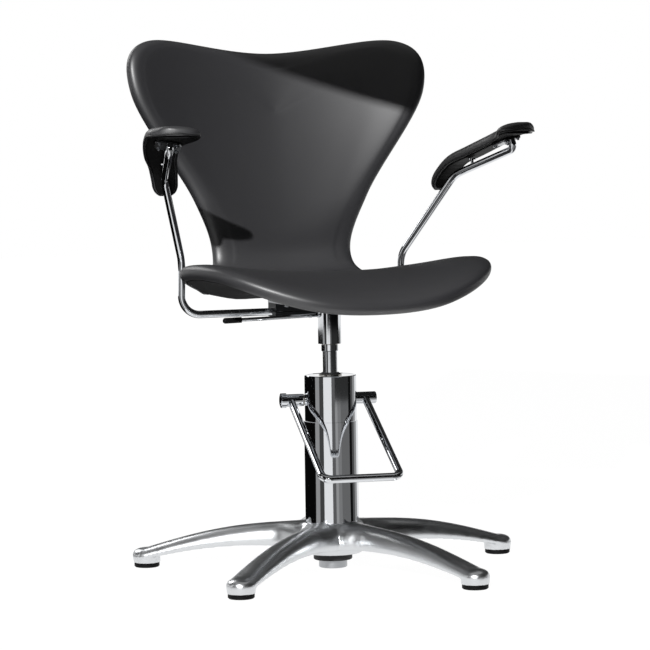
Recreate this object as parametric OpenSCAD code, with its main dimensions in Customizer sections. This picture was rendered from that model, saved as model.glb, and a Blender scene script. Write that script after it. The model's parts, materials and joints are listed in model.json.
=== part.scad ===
/* [Base] */
// Radius of the circle on which the five feet stand
foot_circle_r = 300; // [240:5:340]
// Turn of the star base about the column, in degrees
base_turn = 5; // [0:1:71]
// Width of a leg between its flare and its foot
leg_w = 45; // [38:1:54]
// Height of the leg's crown where it leaves the hub
hub_top_z = 76; // [68:1:90]
// Underside of the hub above the floor
hub_bottom_z = 26; // [22:1:32]
// Wall of the hollow cast legs
leg_wall = 6; // [4:0.5:9]
// Radius of the plastic glide under each foot
glide_r = 20; // [14:1:22]
// Height of the glide's disc
glide_h = 6; // [4:0.5:9]

/* [Column] */
// Outer diameter of the long lower sleeve
sleeve_d = 84.4; // [80:0.2:90]
// Wall of the sleeve
sleeve_wall = 3; // [2:0.5:5]
// Height of the seam between the sleeve and the pump housing
seam_z = 234; // [215:1:245]
// Outer diameter of the pump housing
housing_d = 81.5; // [78:0.5:83]
// Wall of the pump housing
housing_wall = 4; // [3:0.5:5]
// Top edge of the pump housing
housing_top_z = 306; // [298:1:312]
// Outer diameter of the lift cylinder
barrel_d = 34; // [32:0.5:36]
// Bore of the lift cylinder
barrel_bore_d = 28; // [27:0.25:29]

/* [Lift] */
// Diameter of the piston rod
rod_d = 23; // [20:0.5:23.5]
// Height of the collar on which the seat turns, above the pump housing
rod_show = 37; // [34:1:60]
// How far the seat sinks from the height shown
lift_down = 28; // [0:1:30]
// How far the seat rises from the height shown
lift_up = 100; // [60:1:105]

/* [Pedal] */
// Height of the pedal axle
axle_z = 266; // [258:1:272]
// Distance of the axle behind the column's axis
axle_back = 18; // [17.8:0.1:20]
// Diameter of the pedal axle
axle_d = 12; // [10:0.5:12]
// Turn of the pedal about the column, in degrees
pedal_turn = -9; // [-20:1:10]
// Distance between the two side bars of the pedal
pedal_w = 120; // [110:1:130]
// Reach of the pedal outward from its axle
pedal_reach = 222; // [180:2:240]
// Drop of the pedal's foot bar below its axle
pedal_drop = 99; // [80:1:110]
// Diameter of the pedal's bar
bail_d = 12; // [10:0.5:14]
// Travel of the pedal, in degrees
pedal_travel = 22; // [10:1:22]

/* [Shell] */
// Widest part of the back
back_w = 504; // [460:2:540]
// Narrowest part between seat and back
waist_w = 240; // [220:2:280]
// Widest part of the seat
seat_w = 484; // [440:2:520]
// Length of the bent shell along its middle
shell_l = 800; // [740:5:840]
// Thickness over the padding
shell_t = 26; // [22:1:32]
// Thickness of the moulded core
core_t = 9; // [7:0.5:12]
// Front edge's distance in front of the column
seat_front_y = 200; // [170:5:240]
// Middle of the front edge above the floor
seat_front_z = 423; // [415:1:440]

/* [Arms] */
// Diameter of the arm tubes
arm_d = 12; // [11:0.5:14]
// Height of the tube that crosses under the seat
cross_z = 398; // [394:1:400]
// Distance of that tube behind the column
cross_y = 158; // [150:1:166]
// Distance of the upright part of an arm from the middle
upright_x = 190; // [170:1:210]
// Width of an arm pad across its front
pad_w = 86; // [70:1:100]
// Thickness of an arm pad
pad_t = 21; // [16:1:26]

/* [Lever] */
// Reach of the locking lever from its pivot
lever_reach = 162; // [110:2:170]
// Diameter of the lever's rod
lever_d = 6; // [5:0.5:8]
// Diameter of the lever's grip
grip_d = 9; // [8:0.5:11]

/* [Hidden] */
$fn = 64;

// Clearances and overrun
run_gap = 0.05;
seat_gap = 0.3;
over = 1;

// Finishes
alloy = "gainsboro";
steel = "lightsteelblue";
bright = "silver";
rubber_black = "#1d1d1f";
plastic_black = "#26262a";
leather_black = "#303033";
core_brown = "#4a3b2e";
bronze = "#b08d57";

function mix(a, b, t) = a + (b - a) * t;
function unit(v) = v / norm(v);
function smooth(t) = t * t * (3 - 2 * t);
function ease(a, b, x) = smooth(min(1, max(0, (x - a) / (b - a))));
function catmull(p0, p1, p2, p3, t) =
    0.5 * (2 * p1 + (p2 - p0) * t + (2 * p0 - 5 * p1 + 4 * p2 - p3) * t * t
        + (3 * p1 - p0 - 3 * p2 + p3) * t * t * t);
function closed_curve(points, steps) = let (n = len(points))
    [for (i = [0:n - 1], j = [0:steps - 1])
        catmull(points[(i + n - 1) % n], points[i], points[(i + 1) % n], points[(i + 2) % n], j / steps)];

// Triangles between rings of equal length, stacked in order, whose diagonals swap from ring turn on
function band(rings, count, turn = 0) = [for (r = [0:rings - 2], i = [0:count - 1])
    let (a = r * count + i, b = r * count + (i + 1) % count)
        each (r < turn ? [[a, a + count, b], [b, a + count, b + count]]
            : [[a, a + count, b + count], [a, b + count, b]])];
function flat_cap(start, count) = [for (i = [1:count - 2]) [start, start + i, start + i + 1]];
function flipped(faces) = [for (f = faces) [f[2], f[1], f[0]]];
module loft(rings, turn = 0) {
    count = len(rings[0]);
    last = (len(rings) - 1) * count;
    polyhedron([for (ring = rings) each ring],
        concat(band(len(rings), count, turn), flat_cap(0, count), flipped(flat_cap(last, count))));
}

// A straight bar between two points
module bar(a, b, r) {
    d = unit(b - a);
    translate(a) rotate([0, acos(d.z), atan2(d.y, d.x)]) cylinder(h = norm(b - a), r = r);
}

// A round bar along straight runs joined by true round bends, which the runs lap into
bend_lap = 0.5;
bend_swell = 0.03;
module bent_bar(points, bends, r) {
    last = len(points) - 1;
    dirs = [for (i = [0:last - 1]) unit(points[i + 1] - points[i])];
    turns = [for (i = [1:last - 1]) acos(dirs[i - 1] * dirs[i])];
    cuts = [for (i = [1:last - 1]) bends[i - 1] * tan(turns[i - 1] / 2)];
    for (i = [0:last - 1]) {
        start = points[i] + dirs[i] * (i == 0 ? 0 : cuts[i - 1] - bend_lap);
        end = points[i + 1] - dirs[i] * (i == last - 1 ? 0 : cuts[i] - bend_lap);
        bar(start, end, r);
    }
    for (i = [1:last - 1]) {
        a = dirs[i - 1];
        side = unit(dirs[i] - a * (a * dirs[i]));
        axis = cross(a, side);
        centre = points[i] - a * cuts[i - 1] + side * bends[i - 1];
        tilt = acos(axis.z);
        swing = atan2(axis.y, axis.x);
        level = [cos(tilt) * cos(swing), cos(tilt) * sin(swing), -sin(tilt)];
        across = [-sin(swing), cos(swing), 0];
        translate(centre) rotate([0, tilt, swing]) rotate([0, 0, atan2(-side * across, -side * level)])
            rotate_extrude(angle = turns[i - 1]) translate([bends[i - 1], 0]) circle(r = r + bend_swell);
    }
}

module ring(outer_r, inner_r, z0, z1) {
    translate([0, 0, z0]) difference() {
        cylinder(r = outer_r, h = z1 - z0);
        translate([0, 0, -over]) cylinder(r = inner_r, h = z1 - z0 + 2 * over);
    }
}

// Star base

leg_count = 5;
hub_lip = 9;
hub_r = sleeve_d / 2 + hub_lip;
hub_edge = 6;
hub_shoulder = 12;
hub_collar = 3;
hub_floor = 10;
spigot_r = 16;
foot_r = leg_w / 2;
// Outside of the section, as shares of its half width and height, and then the hollow under it
leg_out_share = [[0.93, 0], [1, 0.12], [1, 0.34], [0.9, 0.62], [0.68, 0.84], [0.36, 0.96], [0, 1]];
leg_in_share = [[0, 0.8], [0.34, 0.78], [0.6, 0.66], [0.74, 0.36], [0.76, 0.001]];
leg_in_wide_share = leg_in_share[len(leg_in_share) - 1][0];
leg_root = 2;
leg_lap = 0.8;
leg_steps = 11;
leg_close_share = 0.75;
hollow_least_share = 0.01;
foot_lap = 6;
foot_top_z = 31;
foot_under_z = 14;
arch_rise = 10;
function leg_half_w(r) = r > foot_circle_r
    ? sqrt(max(0, foot_r ^ 2 - (r - foot_circle_r) ^ 2))
    : r < hub_r ? r * tan(180 / leg_count) + leg_lap
    : foot_r + (hub_r * tan(180 / leg_count) + leg_lap - foot_r) * (1 - ease(hub_r, 2 * hub_r, r)) ^ 2;
function leg_along(r) = (r - hub_r) / (foot_circle_r - hub_r);
function leg_top(r) = mix(hub_top_z, foot_top_z, leg_along(r))
    + arch_rise * sin(180 * min(1, max(0, leg_along(r))));
function leg_under(r) = mix(hub_bottom_z + arch_rise, foot_under_z, leg_along(r))
    + arch_rise * sin(180 * min(1, max(0, leg_along(r))));
function leg_ring(r, top, under, half_w, hollow_share) = let (
    rise = top - under,
    outer = [for (s = leg_out_share) [s[0] * half_w, under + s[1] * rise]],
    inner = [for (s = leg_in_share) [s[0] * (half_w - leg_wall) / leg_in_wide_share, under + s[1] * hollow_share * rise]],
    half = concat(outer, [for (i = [len(outer) - 2:-1:0]) [-outer[i][0], outer[i][1]]],
        [for (i = [len(inner) - 1:-1:0]) [-inner[i][0], inner[i][1]]],
        [for (i = [1:len(inner) - 1]) inner[i]]))
    [for (p = half) [r, p[0], p[1]]];
function leg_rings() = concat(
    [for (i = [-1:leg_steps]) let (r = i < 0 ? hub_r * cos(180 / leg_count) - leg_root
            : mix(hub_r, foot_circle_r - foot_r, i / leg_steps))
        leg_ring(r, leg_top(r), leg_under(r), leg_half_w(r),
            min(1, hollow_least_share + ease(1, leg_close_share, i / leg_steps)))],
    [for (a = [0:15:75]) let (r = foot_circle_r + foot_r * sin(a))
        leg_ring(r, mix(leg_top(foot_circle_r), foot_under_z, 1 - cos(a) ^ 0.5),
            foot_under_z, foot_r * cos(a), hollow_least_share)]);

module star_base() color(alloy) difference() {
    union() {
        rotate_extrude() polygon([[0, hub_bottom_z], [hub_r - hub_edge, hub_bottom_z],
            [hub_r, hub_bottom_z + hub_edge], [hub_r, hub_top_z - hub_shoulder],
            [sleeve_d / 2 + hub_collar, hub_top_z], [0, hub_top_z]]);
        for (i = [0:leg_count - 1]) rotate([0, 0, base_turn + i * 360 / leg_count]) {
            loft(leg_rings());
            translate([foot_circle_r, 0, glide_h + seat_gap])
                cylinder(r = foot_r - edge, h = foot_under_z + foot_lap - glide_h - seat_gap);
        }
    }
    translate([0, 0, hub_bottom_z + hub_floor]) cylinder(r = sleeve_d / 2 + run_gap, h = hub_top_z);
    translate([0, 0, -over]) cylinder(r = spigot_r + run_gap * 2, h = hub_top_z);
    for (i = [0:leg_count - 1]) rotate([0, 0, base_turn + i * 360 / leg_count])
        translate([foot_circle_r, 0, 0]) cylinder(r = glide_stem_r + run_gap, h = glide_stem_top + over);
}

// Glides

glide_stem_r = 5;
glide_stem_l = 12;
glide_stem_top = glide_h + glide_stem_l;
glide_edge = 1.5;
module glide(i) color(plastic_black) rotate([0, 0, base_turn + i * 360 / leg_count])
    translate([foot_circle_r, 0, 0]) rotate_extrude() polygon([[0, 0], [glide_r - glide_edge, 0],
        [glide_r, glide_edge], [glide_r, glide_h], [glide_stem_r, glide_h], [glide_stem_r, glide_stem_top],
        [0, glide_stem_top]]);

module glide_1() glide(0);
module glide_2() glide(1);
module glide_3() glide(2);
module glide_4() glide(3);
module glide_5() glide(4);

// Column and pump

floor_top_z = hub_bottom_z + hub_floor;
sleeve_floor = 5;
spigot_bottom_z = 9;
washer_r = 30.5;
washer_bottom_z = 15.5;
nut_r = 22.3;
nut_bottom_z = 3;
edge = 1;
module column_sleeve() color(bright) {
    ring(sleeve_d / 2, sleeve_d / 2 - sleeve_wall, floor_top_z, seam_z);
    translate([0, 0, floor_top_z]) cylinder(r = sleeve_d / 2 - sleeve_wall / 2, h = sleeve_floor);
    translate([0, 0, spigot_bottom_z]) cylinder(r = spigot_r, h = floor_top_z + sleeve_floor - spigot_bottom_z);
}

module base_washer() color(rubber_black) rotate_extrude() polygon([
    [spigot_r + seat_gap, washer_bottom_z], [washer_r - edge, washer_bottom_z],
    [washer_r, washer_bottom_z + edge], [washer_r, hub_bottom_z - edge],
    [washer_r - edge, hub_bottom_z], [spigot_r + seat_gap, hub_bottom_z]]);

module clamp_nut() color(steel) difference() {
    rotate_extrude() polygon([[0, nut_bottom_z], [nut_r - edge, nut_bottom_z], [nut_r, nut_bottom_z + edge],
        [nut_r, washer_bottom_z], [0, washer_bottom_z]]);
    translate([0, 0, spigot_bottom_z - seat_gap]) cylinder(r = spigot_r + run_gap, h = washer_bottom_z);
}

housing_r = housing_d / 2;
housing_in = housing_r - housing_wall;
housing_spigot = 12;
cap_t = 7;
cap_drop = 0.5;
cap_ledge = 1;
axle_bush_r = 8;
module at_pedal() rotate([0, 0, pedal_turn]) translate([0, axle_back, axle_z]) children();
module along_axle(x0, x1, r) translate([x0, 0, 0]) rotate([0, 90, 0]) cylinder(r = r, h = x1 - x0);
module pump_housing() color(bright) difference() {
    rotate_extrude() polygon([
        [housing_in - cap_ledge, seam_z - housing_spigot],
        [sleeve_d / 2 - sleeve_wall - run_gap, seam_z - housing_spigot],
        [sleeve_d / 2 - sleeve_wall - run_gap, seam_z], [housing_r, seam_z],
        [housing_r, housing_top_z - edge], [housing_r - edge, housing_top_z], [housing_in, housing_top_z],
        [housing_in, housing_top_z - cap_t], [housing_in - cap_ledge, housing_top_z - cap_t]]);
    at_pedal() along_axle(-housing_d, housing_d, axle_bush_r);
}

guide_r = 15;
guide_flange_r = 18;
guide_flange_t = 1.5;
guide_l = 14;
guide_z = housing_top_z - cap_drop;
module top_cap() color(bright) ring(housing_in - run_gap, guide_r, housing_top_z - cap_t, guide_z);

module guide_bush() color(bronze) rotate_extrude() polygon([
    [rod_d / 2 + run_gap, guide_z - guide_l], [guide_r - run_gap, guide_z - guide_l],
    [guide_r - run_gap, guide_z], [guide_flange_r, guide_z],
    [guide_flange_r, guide_z + guide_flange_t], [rod_d / 2 + run_gap, guide_z + guide_flange_t]]);

wiper_z = guide_z + guide_flange_t;
wiper_t = 3;
wiper_lip = 1.5;
module rod_wiper() color(rubber_black) rotate_extrude() polygon([
    [rod_d / 2 + run_gap, wiper_z], [guide_flange_r - edge, wiper_z],
    [rod_d / 2 + wiper_lip, wiper_z + wiper_t], [rod_d / 2 + run_gap, wiper_z + wiper_t]]);

manifold_t = 16;
manifold_z = floor_top_z + sleeve_floor;
manifold_gap = 1.5;
barrel_bottom_z = manifold_z + manifold_t;
barrel_short = 2;
barrel_top_z = seam_z - barrel_short;
gland_t = 8;
gland_flange_t = 3;
module pump_manifold() color(steel) translate([0, 0, manifold_z])
    cylinder(r = sleeve_d / 2 - sleeve_wall - manifold_gap, h = manifold_t);

module lift_barrel() color(steel) ring(barrel_d / 2, barrel_bore_d / 2, barrel_bottom_z, barrel_top_z);

module barrel_gland() color(bronze) rotate_extrude() polygon([
    [rod_d / 2 + run_gap, barrel_top_z - gland_t], [barrel_bore_d / 2 - run_gap, barrel_top_z - gland_t],
    [barrel_bore_d / 2 - run_gap, barrel_top_z], [barrel_d / 2, barrel_top_z],
    [barrel_d / 2, barrel_top_z + gland_flange_t], [rod_d / 2 + run_gap, barrel_top_z + gland_flange_t]]);

plunger_r = 4;
pump_cylinder_r = 7;
pump_cylinder_gap = 0.5;
pump_cylinder_drop = 34;
pump_cylinder_top_z = seam_z - pump_cylinder_drop;
pump_cylinder_floor = 10;
plunger_out = barrel_d / 2 + pump_cylinder_gap + pump_cylinder_r;
module at_plunger() rotate([0, 0, pedal_turn]) translate([0, -plunger_out, 0]) children();
module pump_cylinder() color(steel) at_plunger()
    difference() {
        translate([0, 0, barrel_bottom_z])
            cylinder(r = pump_cylinder_r, h = pump_cylinder_top_z - barrel_bottom_z);
        translate([0, 0, barrel_bottom_z + pump_cylinder_floor])
            cylinder(r = plunger_r + run_gap, h = pump_cylinder_top_z);
    }

// Pedal

axle_beyond = 17;
axle_l = pedal_w / 2 + axle_beyond;
axle_end = 3;
axle_bush_l = 6;
bush_flange_r = 9.6;
bush_flange_t = 2;
bush_out = sqrt(housing_r ^ 2 - (axle_back - axle_bush_r) ^ 2) + seat_gap;
bush_in = sqrt((housing_in - cap_ledge) ^ 2 - axle_back ^ 2) - axle_bush_l;
module axle_bush(side) color(bronze) at_pedal() mirror([side < 0 ? 1 : 0, 0, 0]) difference() {
    union() {
        along_axle(bush_in, bush_out, axle_bush_r - run_gap);
        along_axle(bush_out, bush_out + bush_flange_t, bush_flange_r);
    }
    along_axle(0, pedal_w, axle_d / 2 + run_gap);
}
module axle_bush_left() axle_bush(-1);
module axle_bush_right() axle_bush(1);

module pedal_axle() color(steel) at_pedal() along_axle(axle_end - axle_l, axle_l - axle_end, axle_d / 2);

hub_in = bush_out + bush_flange_t + seat_gap;
pedal_hub_r = 9.7;
hub_cap_r = 11.5;
hub_cap_t = 8;
hub_screw_r = 2;
hub_screw_x = (hub_in + pedal_w / 2) / 2;
module pedal_hub(side) color(bright) at_pedal() mirror([side < 0 ? 1 : 0, 0, 0]) difference() {
    union() {
        along_axle(hub_in, axle_l - edge, pedal_hub_r);
        along_axle(axle_l - edge, axle_l, pedal_hub_r - edge);
        if (side < 0) along_axle(axle_l - hub_cap_t - edge, axle_l - edge, hub_cap_r);
    }
    along_axle(0, axle_l - axle_end + seat_gap, axle_d / 2 + run_gap / 2);
    translate([hub_screw_x, 0, 0]) cylinder(r = hub_screw_r + run_gap, h = pedal_hub_r + over);
}
module pedal_hub_left() pedal_hub(-1);
module pedal_hub_right() pedal_hub(1);

bail_bend_r = 14;
module pedal_bail() color(bright) at_pedal() difference() {
    bent_bar([[-pedal_w / 2, 0, 0], [-pedal_w / 2, -pedal_reach, -pedal_drop],
        [pedal_w / 2, -pedal_reach, -pedal_drop], [pedal_w / 2, 0, 0]], [bail_bend_r, bail_bend_r], bail_d / 2);
    along_axle(-pedal_w, pedal_w, pedal_hub_r + run_gap);
}

module hub_screws() color(plastic_black) at_pedal() for (side = [-1, 1])
    translate([side * hub_screw_x, 0, axle_d / 2 + run_gap])
        cylinder(r = hub_screw_r, h = pedal_hub_r - axle_d / 2 - edge);

crank_rise = pedal_travel / 2;
crank_l = (plunger_out + axle_back) / cos(crank_rise);
crank_pin_r = 4;
crank_hub_r = 9;
cheek_t = 4;
cheek_gap = 2;
cheek_in = rod_d / 2 + cheek_gap;
module pedal_crank() color(steel) at_pedal() difference() {
    rotate([-crank_rise, 0, 0]) {
        for (side = [-1, 1]) translate([side * (cheek_in + cheek_t / 2), 0, 0]) {
            along_axle(-cheek_t / 2, cheek_t / 2, crank_hub_r);
            translate([-cheek_t / 2, -crank_l, -crank_pin_r]) cube([cheek_t, crank_l, 2 * crank_pin_r]);
        }
        translate([0, -crank_l, 0]) along_axle(-cheek_in - cheek_t, cheek_in + cheek_t, crank_pin_r);
    }
    along_axle(-pedal_w, pedal_w, axle_d / 2 + run_gap / 2);
}

plunger_top_z = axle_z + crank_l * sin(crank_rise) - crank_pin_r - seat_gap;
plunger_head_r = 6.5;
plunger_head_t = 6;
plunger_l = 110;
module pump_plunger() color(steel) at_plunger() {
    translate([0, 0, plunger_top_z - plunger_l]) cylinder(r = plunger_r, h = plunger_l - plunger_head_t / 2);
    translate([0, 0, plunger_top_z - plunger_head_t]) cylinder(r = plunger_head_r, h = plunger_head_t);
}

// Coil spring round the plunger
spring_wire_r = 0.8;
spring_clear = 0.4;
spring_r = plunger_r + spring_wire_r + spring_clear;
spring_turns = 8;
spring_steps = 12;
spring_seat = 0.2;
spring_z0 = pump_cylinder_top_z + spring_seat + spring_wire_r;
spring_z1 = plunger_top_z - plunger_head_t - spring_seat - spring_wire_r;
module plunger_spring() color(steel) at_plunger() {
    count = spring_turns * spring_steps;
    slope = atan2(spring_z1 - spring_z0, 2 * PI * spring_r * spring_turns);
    loft([for (i = [0:count]) let (a = i * 360 / spring_steps, z = mix(spring_z0, spring_z1, i / count))
        [for (b = [0:60:300]) let (out = spring_r + spring_wire_r * cos(b), up = spring_wire_r * sin(b))
            [out * cos(a) + up * sin(slope) * sin(a), out * sin(a) - up * sin(slope) * cos(a),
             z + up * cos(slope)]]]);
}

// Lift

collar_z = housing_top_z + rod_show;
collar_t = 12;
collar_r = 13.35;
thrust_t = 1.5;
tube_bottom_z = collar_z + collar_t;
piston_t = 12;
piston_rest = 2;
rod_bottom_z = barrel_bottom_z + lift_down + piston_t + piston_rest;
spindle_r = 10;
clamp_over = 9;
plate_z = cross_z + arm_d / 2 + clamp_over;
spindle_short = 8;
spindle_top_z = plate_z - spindle_short;
module piston_rod() color(bright) {
    translate([0, 0, rod_bottom_z]) cylinder(r = rod_d / 2, h = collar_z - rod_bottom_z);
    translate([0, 0, collar_z]) cylinder(r = spindle_r, h = spindle_top_z - collar_z);
}

ring_groove = 2.5;
ring_t = 3;
ring_z = rod_bottom_z - piston_t / 2;
module piston_head() color(bronze) difference() {
    translate([0, 0, rod_bottom_z - piston_t]) cylinder(r = barrel_bore_d / 2 - run_gap, h = piston_t);
    ring(barrel_bore_d / 2 + over, barrel_bore_d / 2 - ring_groove, ring_z - ring_t / 2, ring_z + ring_t / 2);
}

module piston_ring() color(rubber_black) ring(barrel_bore_d / 2 - run_gap,
    barrel_bore_d / 2 - ring_groove + run_gap, ring_z - ring_t / 2 + run_gap, ring_z + ring_t / 2 - run_gap);

module rod_collar() color(bright) rotate_extrude() polygon([
    [spindle_r + run_gap, collar_z], [collar_r - edge, collar_z], [collar_r, collar_z + edge],
    [collar_r, tube_bottom_z - thrust_t], [spindle_r + run_gap, tube_bottom_z - thrust_t]]);

module thrust_washer() color(bronze)
    ring(collar_r - edge, spindle_r + run_gap, tube_bottom_z - thrust_t, tube_bottom_z);

seat_tube_r = 18.25;
lever_drop = 15;
lever_z = plate_z - lever_drop;
module seat_tube() color(bright) difference() {
    translate([0, 0, tube_bottom_z + run_gap])
        cylinder(r = seat_tube_r, h = plate_z - tube_bottom_z - run_gap);
    translate([0, 0, collar_z]) cylinder(r = spindle_r + run_gap, h = spindle_top_z + over - collar_z);
    translate([0, 0, lever_z]) rotate([-90, 0, 0]) cylinder(r = shoe_r + run_gap, h = seat_tube_r + over);
}

// Bent shell: a flat outline laid on a surface that is swept along the middle line

// Heading of the middle line, in degrees, against its share of the length
heading_share = [[0, 28], [0.07, 18], [0.18, -5], [0.42, -8], [0.56, 87], [0.72, 80], [1, 74.5]];
heading_blur_share = 0.03;
// Rise of the two sides above the middle, as shares of the seat's half width
dish_share = [[0, 0.125], [0.15, 0.1], [0.38, 0.12], [0.52, 0.07], [0.65, 0.19], [1, 0.215]];
// Right half of the outline, as shares of a named width and of the length
outline_share = [[0, -0.013], [0.52, 0.008], [0.905, 0.1], [1, 0.26], [0.71, 0.416]];
outline_back_share = [[0.6, 0.665], [1, 0.868], [0.853, 0.976], [0, 0.964]];
waist_share = 0.536;
spine_start_share = 0.15;
spine_end_share = 0.87;
spine_steps = 100;
outline_steps = 4;
function heading(u) = (lookup(u - heading_blur_share, heading_share) + lookup(u + heading_blur_share, heading_share)
    + lookup(u - heading_blur_share / 2, heading_share) + lookup(u + heading_blur_share / 2, heading_share)
    + lookup(u, heading_share)) / 5;
spine_y = [for (i = 0, y = -seat_front_y; i <= spine_steps;
    y = y + cos(heading((i + 0.5) / spine_steps)) * shell_l / spine_steps, i = i + 1) [i / spine_steps, y]];
spine_z = [for (i = 0, z = seat_front_z; i <= spine_steps;
    z = z + sin(heading((i + 0.5) / spine_steps)) * shell_l / spine_steps, i = i + 1) [i / spine_steps, z]];
function past_end(u) = u < 0 ? u : max(0, u - 1);
// A point of the shell: x across, u along as a share, n outward from the middle of its thickness
function shell_point(x, u, n) = let (
    h = heading(u),
    rise = lookup(u, dish_share) * seat_w / 2,
    q = x / (seat_w / 2),
    lean = atan(2 * q * rise / (seat_w / 2)),
    off = rise * q * q + n * cos(lean))
    [x - n * sin(lean), lookup(u, spine_y) + past_end(u) * shell_l * cos(h) - sin(h) * off,
     lookup(u, spine_z) + past_end(u) * shell_l * sin(h) + cos(h) * off];
outline_half = concat([for (p = outline_share) [p[0] * seat_w / 2, p[1]]], [[waist_w / 2, waist_share]],
    [for (p = outline_back_share) [p[0] * back_w / 2, p[1]]]);
outline = closed_curve(concat(outline_half,
    [for (i = [len(outline_half) - 2:-1:1]) [-outline_half[i][0], outline_half[i][1]]]), outline_steps);
// One closed ring: part of the way from the spine to the outline, then drawn in by inset
function shell_ring(part_share, inset, n) = [for (p = outline) let (
    centre = [0, mix(spine_start_share, spine_end_share, p[1])],
    reach = norm([p[0], (p[1] - centre[1]) * shell_l]),
    t = part_share * (reach - inset) / reach,
    q = [p[0] * t, mix(centre[1], p[1], t)])
    shell_point(q[0], q[1], n)];
// Ladder of triangles that closes the innermost ring across the spine
function ladder(start, count) = [for (i = [0:count / 2 - 1]) let (a = (count - i) % count, b = count - i - 1)
    each (i == 0 ? [[start, start + 1, start + b]]
        : i == count / 2 - 1 ? [[start + a, start + i, start + b]]
        : [[start + a, start + i, start + i + 1], [start + a, start + i + 1, start + b]])];
// A layer of the shell: rings from the spine out along its rear face, round its rim, and back in
module shell_layer(rear, rim, front) {
    count = len(outline);
    shares = concat(shell_share, [inner_share]);
    rings = concat([for (i = [len(shares) - 1:-1:0]) [shares[i], core_inset, rear[min(i, len(rear) - 1)]]], rim,
        [for (i = [0:len(shares) - 1]) [shares[i], core_inset, front[min(i, len(front) - 1)]]]);
    polyhedron([for (r = rings) each shell_ring(r[0], r[1], r[2])],
        concat(ladder(0, count), band(len(rings), count, len(shares) + len(rim) / 2 - 1),
            flipped(ladder((len(rings) - 1) * count, count))));
}
inner_share = 0.08;
// Rings between the rim and the spine, shared by every layer so that their faces nest
shell_share = [0.86, 0.62, 0.34];
core_inset = 7;
wrap_depth = 7;
half_t = shell_t / 2;
// Rolled edges: inset and height as shares of the thickness
front_roll_share = [[0.1, -0.27], [0.023, -0.135], [0, 0], [0.046, 0.225], [0.19, 0.4]];
rear_roll_share = [[0.54, -0.49], [0.23, -0.45], [0.12, -0.37]];
// Height of the padding's crown and of the belly behind it, from the rim to the spine
crown_share = [0.49, 0.53, 0.54];
belly_share = [0.56, 0.67, 0.52, 0.5];
module shell_core() color(core_brown) shell_layer([-core_t],
    [[1, core_inset + edge, -core_t], [1, core_inset, -core_t + edge], [1, core_inset, -edge],
    [1, core_inset + edge, 0]], [0]);

module front_pad() color(leather_black) shell_layer([seat_gap],
    concat([[1, core_inset + edge, seat_gap], [1, core_inset - seat_gap, seat_gap],
    [1, core_inset - seat_gap, -wrap_depth]], [for (s = front_roll_share) [1, s[0] * shell_t, s[1] * shell_t]]),
    crown_share * shell_t);

module rear_cover() color(leather_black) shell_layer(-belly_share * shell_t,
    concat([for (s = rear_roll_share) [1, s[0] * shell_t, s[1] * shell_t]],
    [[1, rear_roll_share[2][0] * shell_t + seat_gap, -core_t - seat_gap],
    [1, core_inset + edge, -core_t - seat_gap]]), [-core_t - seat_gap]);

// Seat mounting

plate_t = 6;
plate_front_w = 104;
plate_rear_w = 80;
plate_front_y = -62;
plate_behind = 14;
plate_rear_y = cross_y + plate_behind;
plate_corner = 8;
spacer_x = 30;
spacer_r = 13;
clamp_l = 34;
spacer_front_y = -40;
spacer_before_clamp = 33;
spacer_y = [spacer_front_y, cross_y - clamp_l / 2 - spacer_before_clamp];
spine_share = [for (p = spine_y) [p[1], p[0]]];
screw_r = 3;
screw_head_r = 6;
screw_head_t = 3;
function spacer_top(u) = shell_point(spacer_x, u, -half_t - seat_gap);
function spacer_spots() = [for (y = spacer_y, side = [-1, 1])
    let (u = lookup(y, spine_share), p = spacer_top(u)) [side * p.x, p.y, p.z, u]];
module seat_plate() color(steel) difference() {
    translate([0, 0, plate_z]) linear_extrude(plate_t) hull() for (side = [-1, 1])
        for (corner = [[plate_front_w / 2, plate_front_y + plate_corner],
            [plate_rear_w / 2, plate_rear_y - plate_corner]])
            translate([side * (corner.x - plate_corner), corner.y]) circle(r = plate_corner);
    for (p = spacer_spots()) translate([p.x, p.y, plate_z - over])
        cylinder(r = screw_r + run_gap, h = plate_t + 2 * over);
}

module rubber_spacers() color(rubber_black) for (p = spacer_spots()) difference() {
    translate([p.x, p.y, plate_z + plate_t]) cylinder(r = spacer_r, h = p.z - plate_z - plate_t + spacer_r);
    translate([p.x, p.y, p.z]) rotate([heading(p[3]), 0, 0]) translate([-2 * spacer_r, -2 * spacer_r, -seat_gap])
        cube(4 * spacer_r);
    translate([p.x, p.y, plate_z]) cylinder(r = screw_r + run_gap, h = plate_t + screw_in + over);
}

screw_in = 4;
module seat_screws() color(steel) for (p = spacer_spots()) {
    translate([p.x, p.y, plate_z - screw_head_t - run_gap])
        cylinder(r1 = screw_head_r - edge, r2 = screw_head_r, h = screw_head_t);
    translate([p.x, p.y, plate_z - run_gap - edge]) cylinder(r = screw_r, h = plate_t + screw_in + edge);
}

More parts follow.
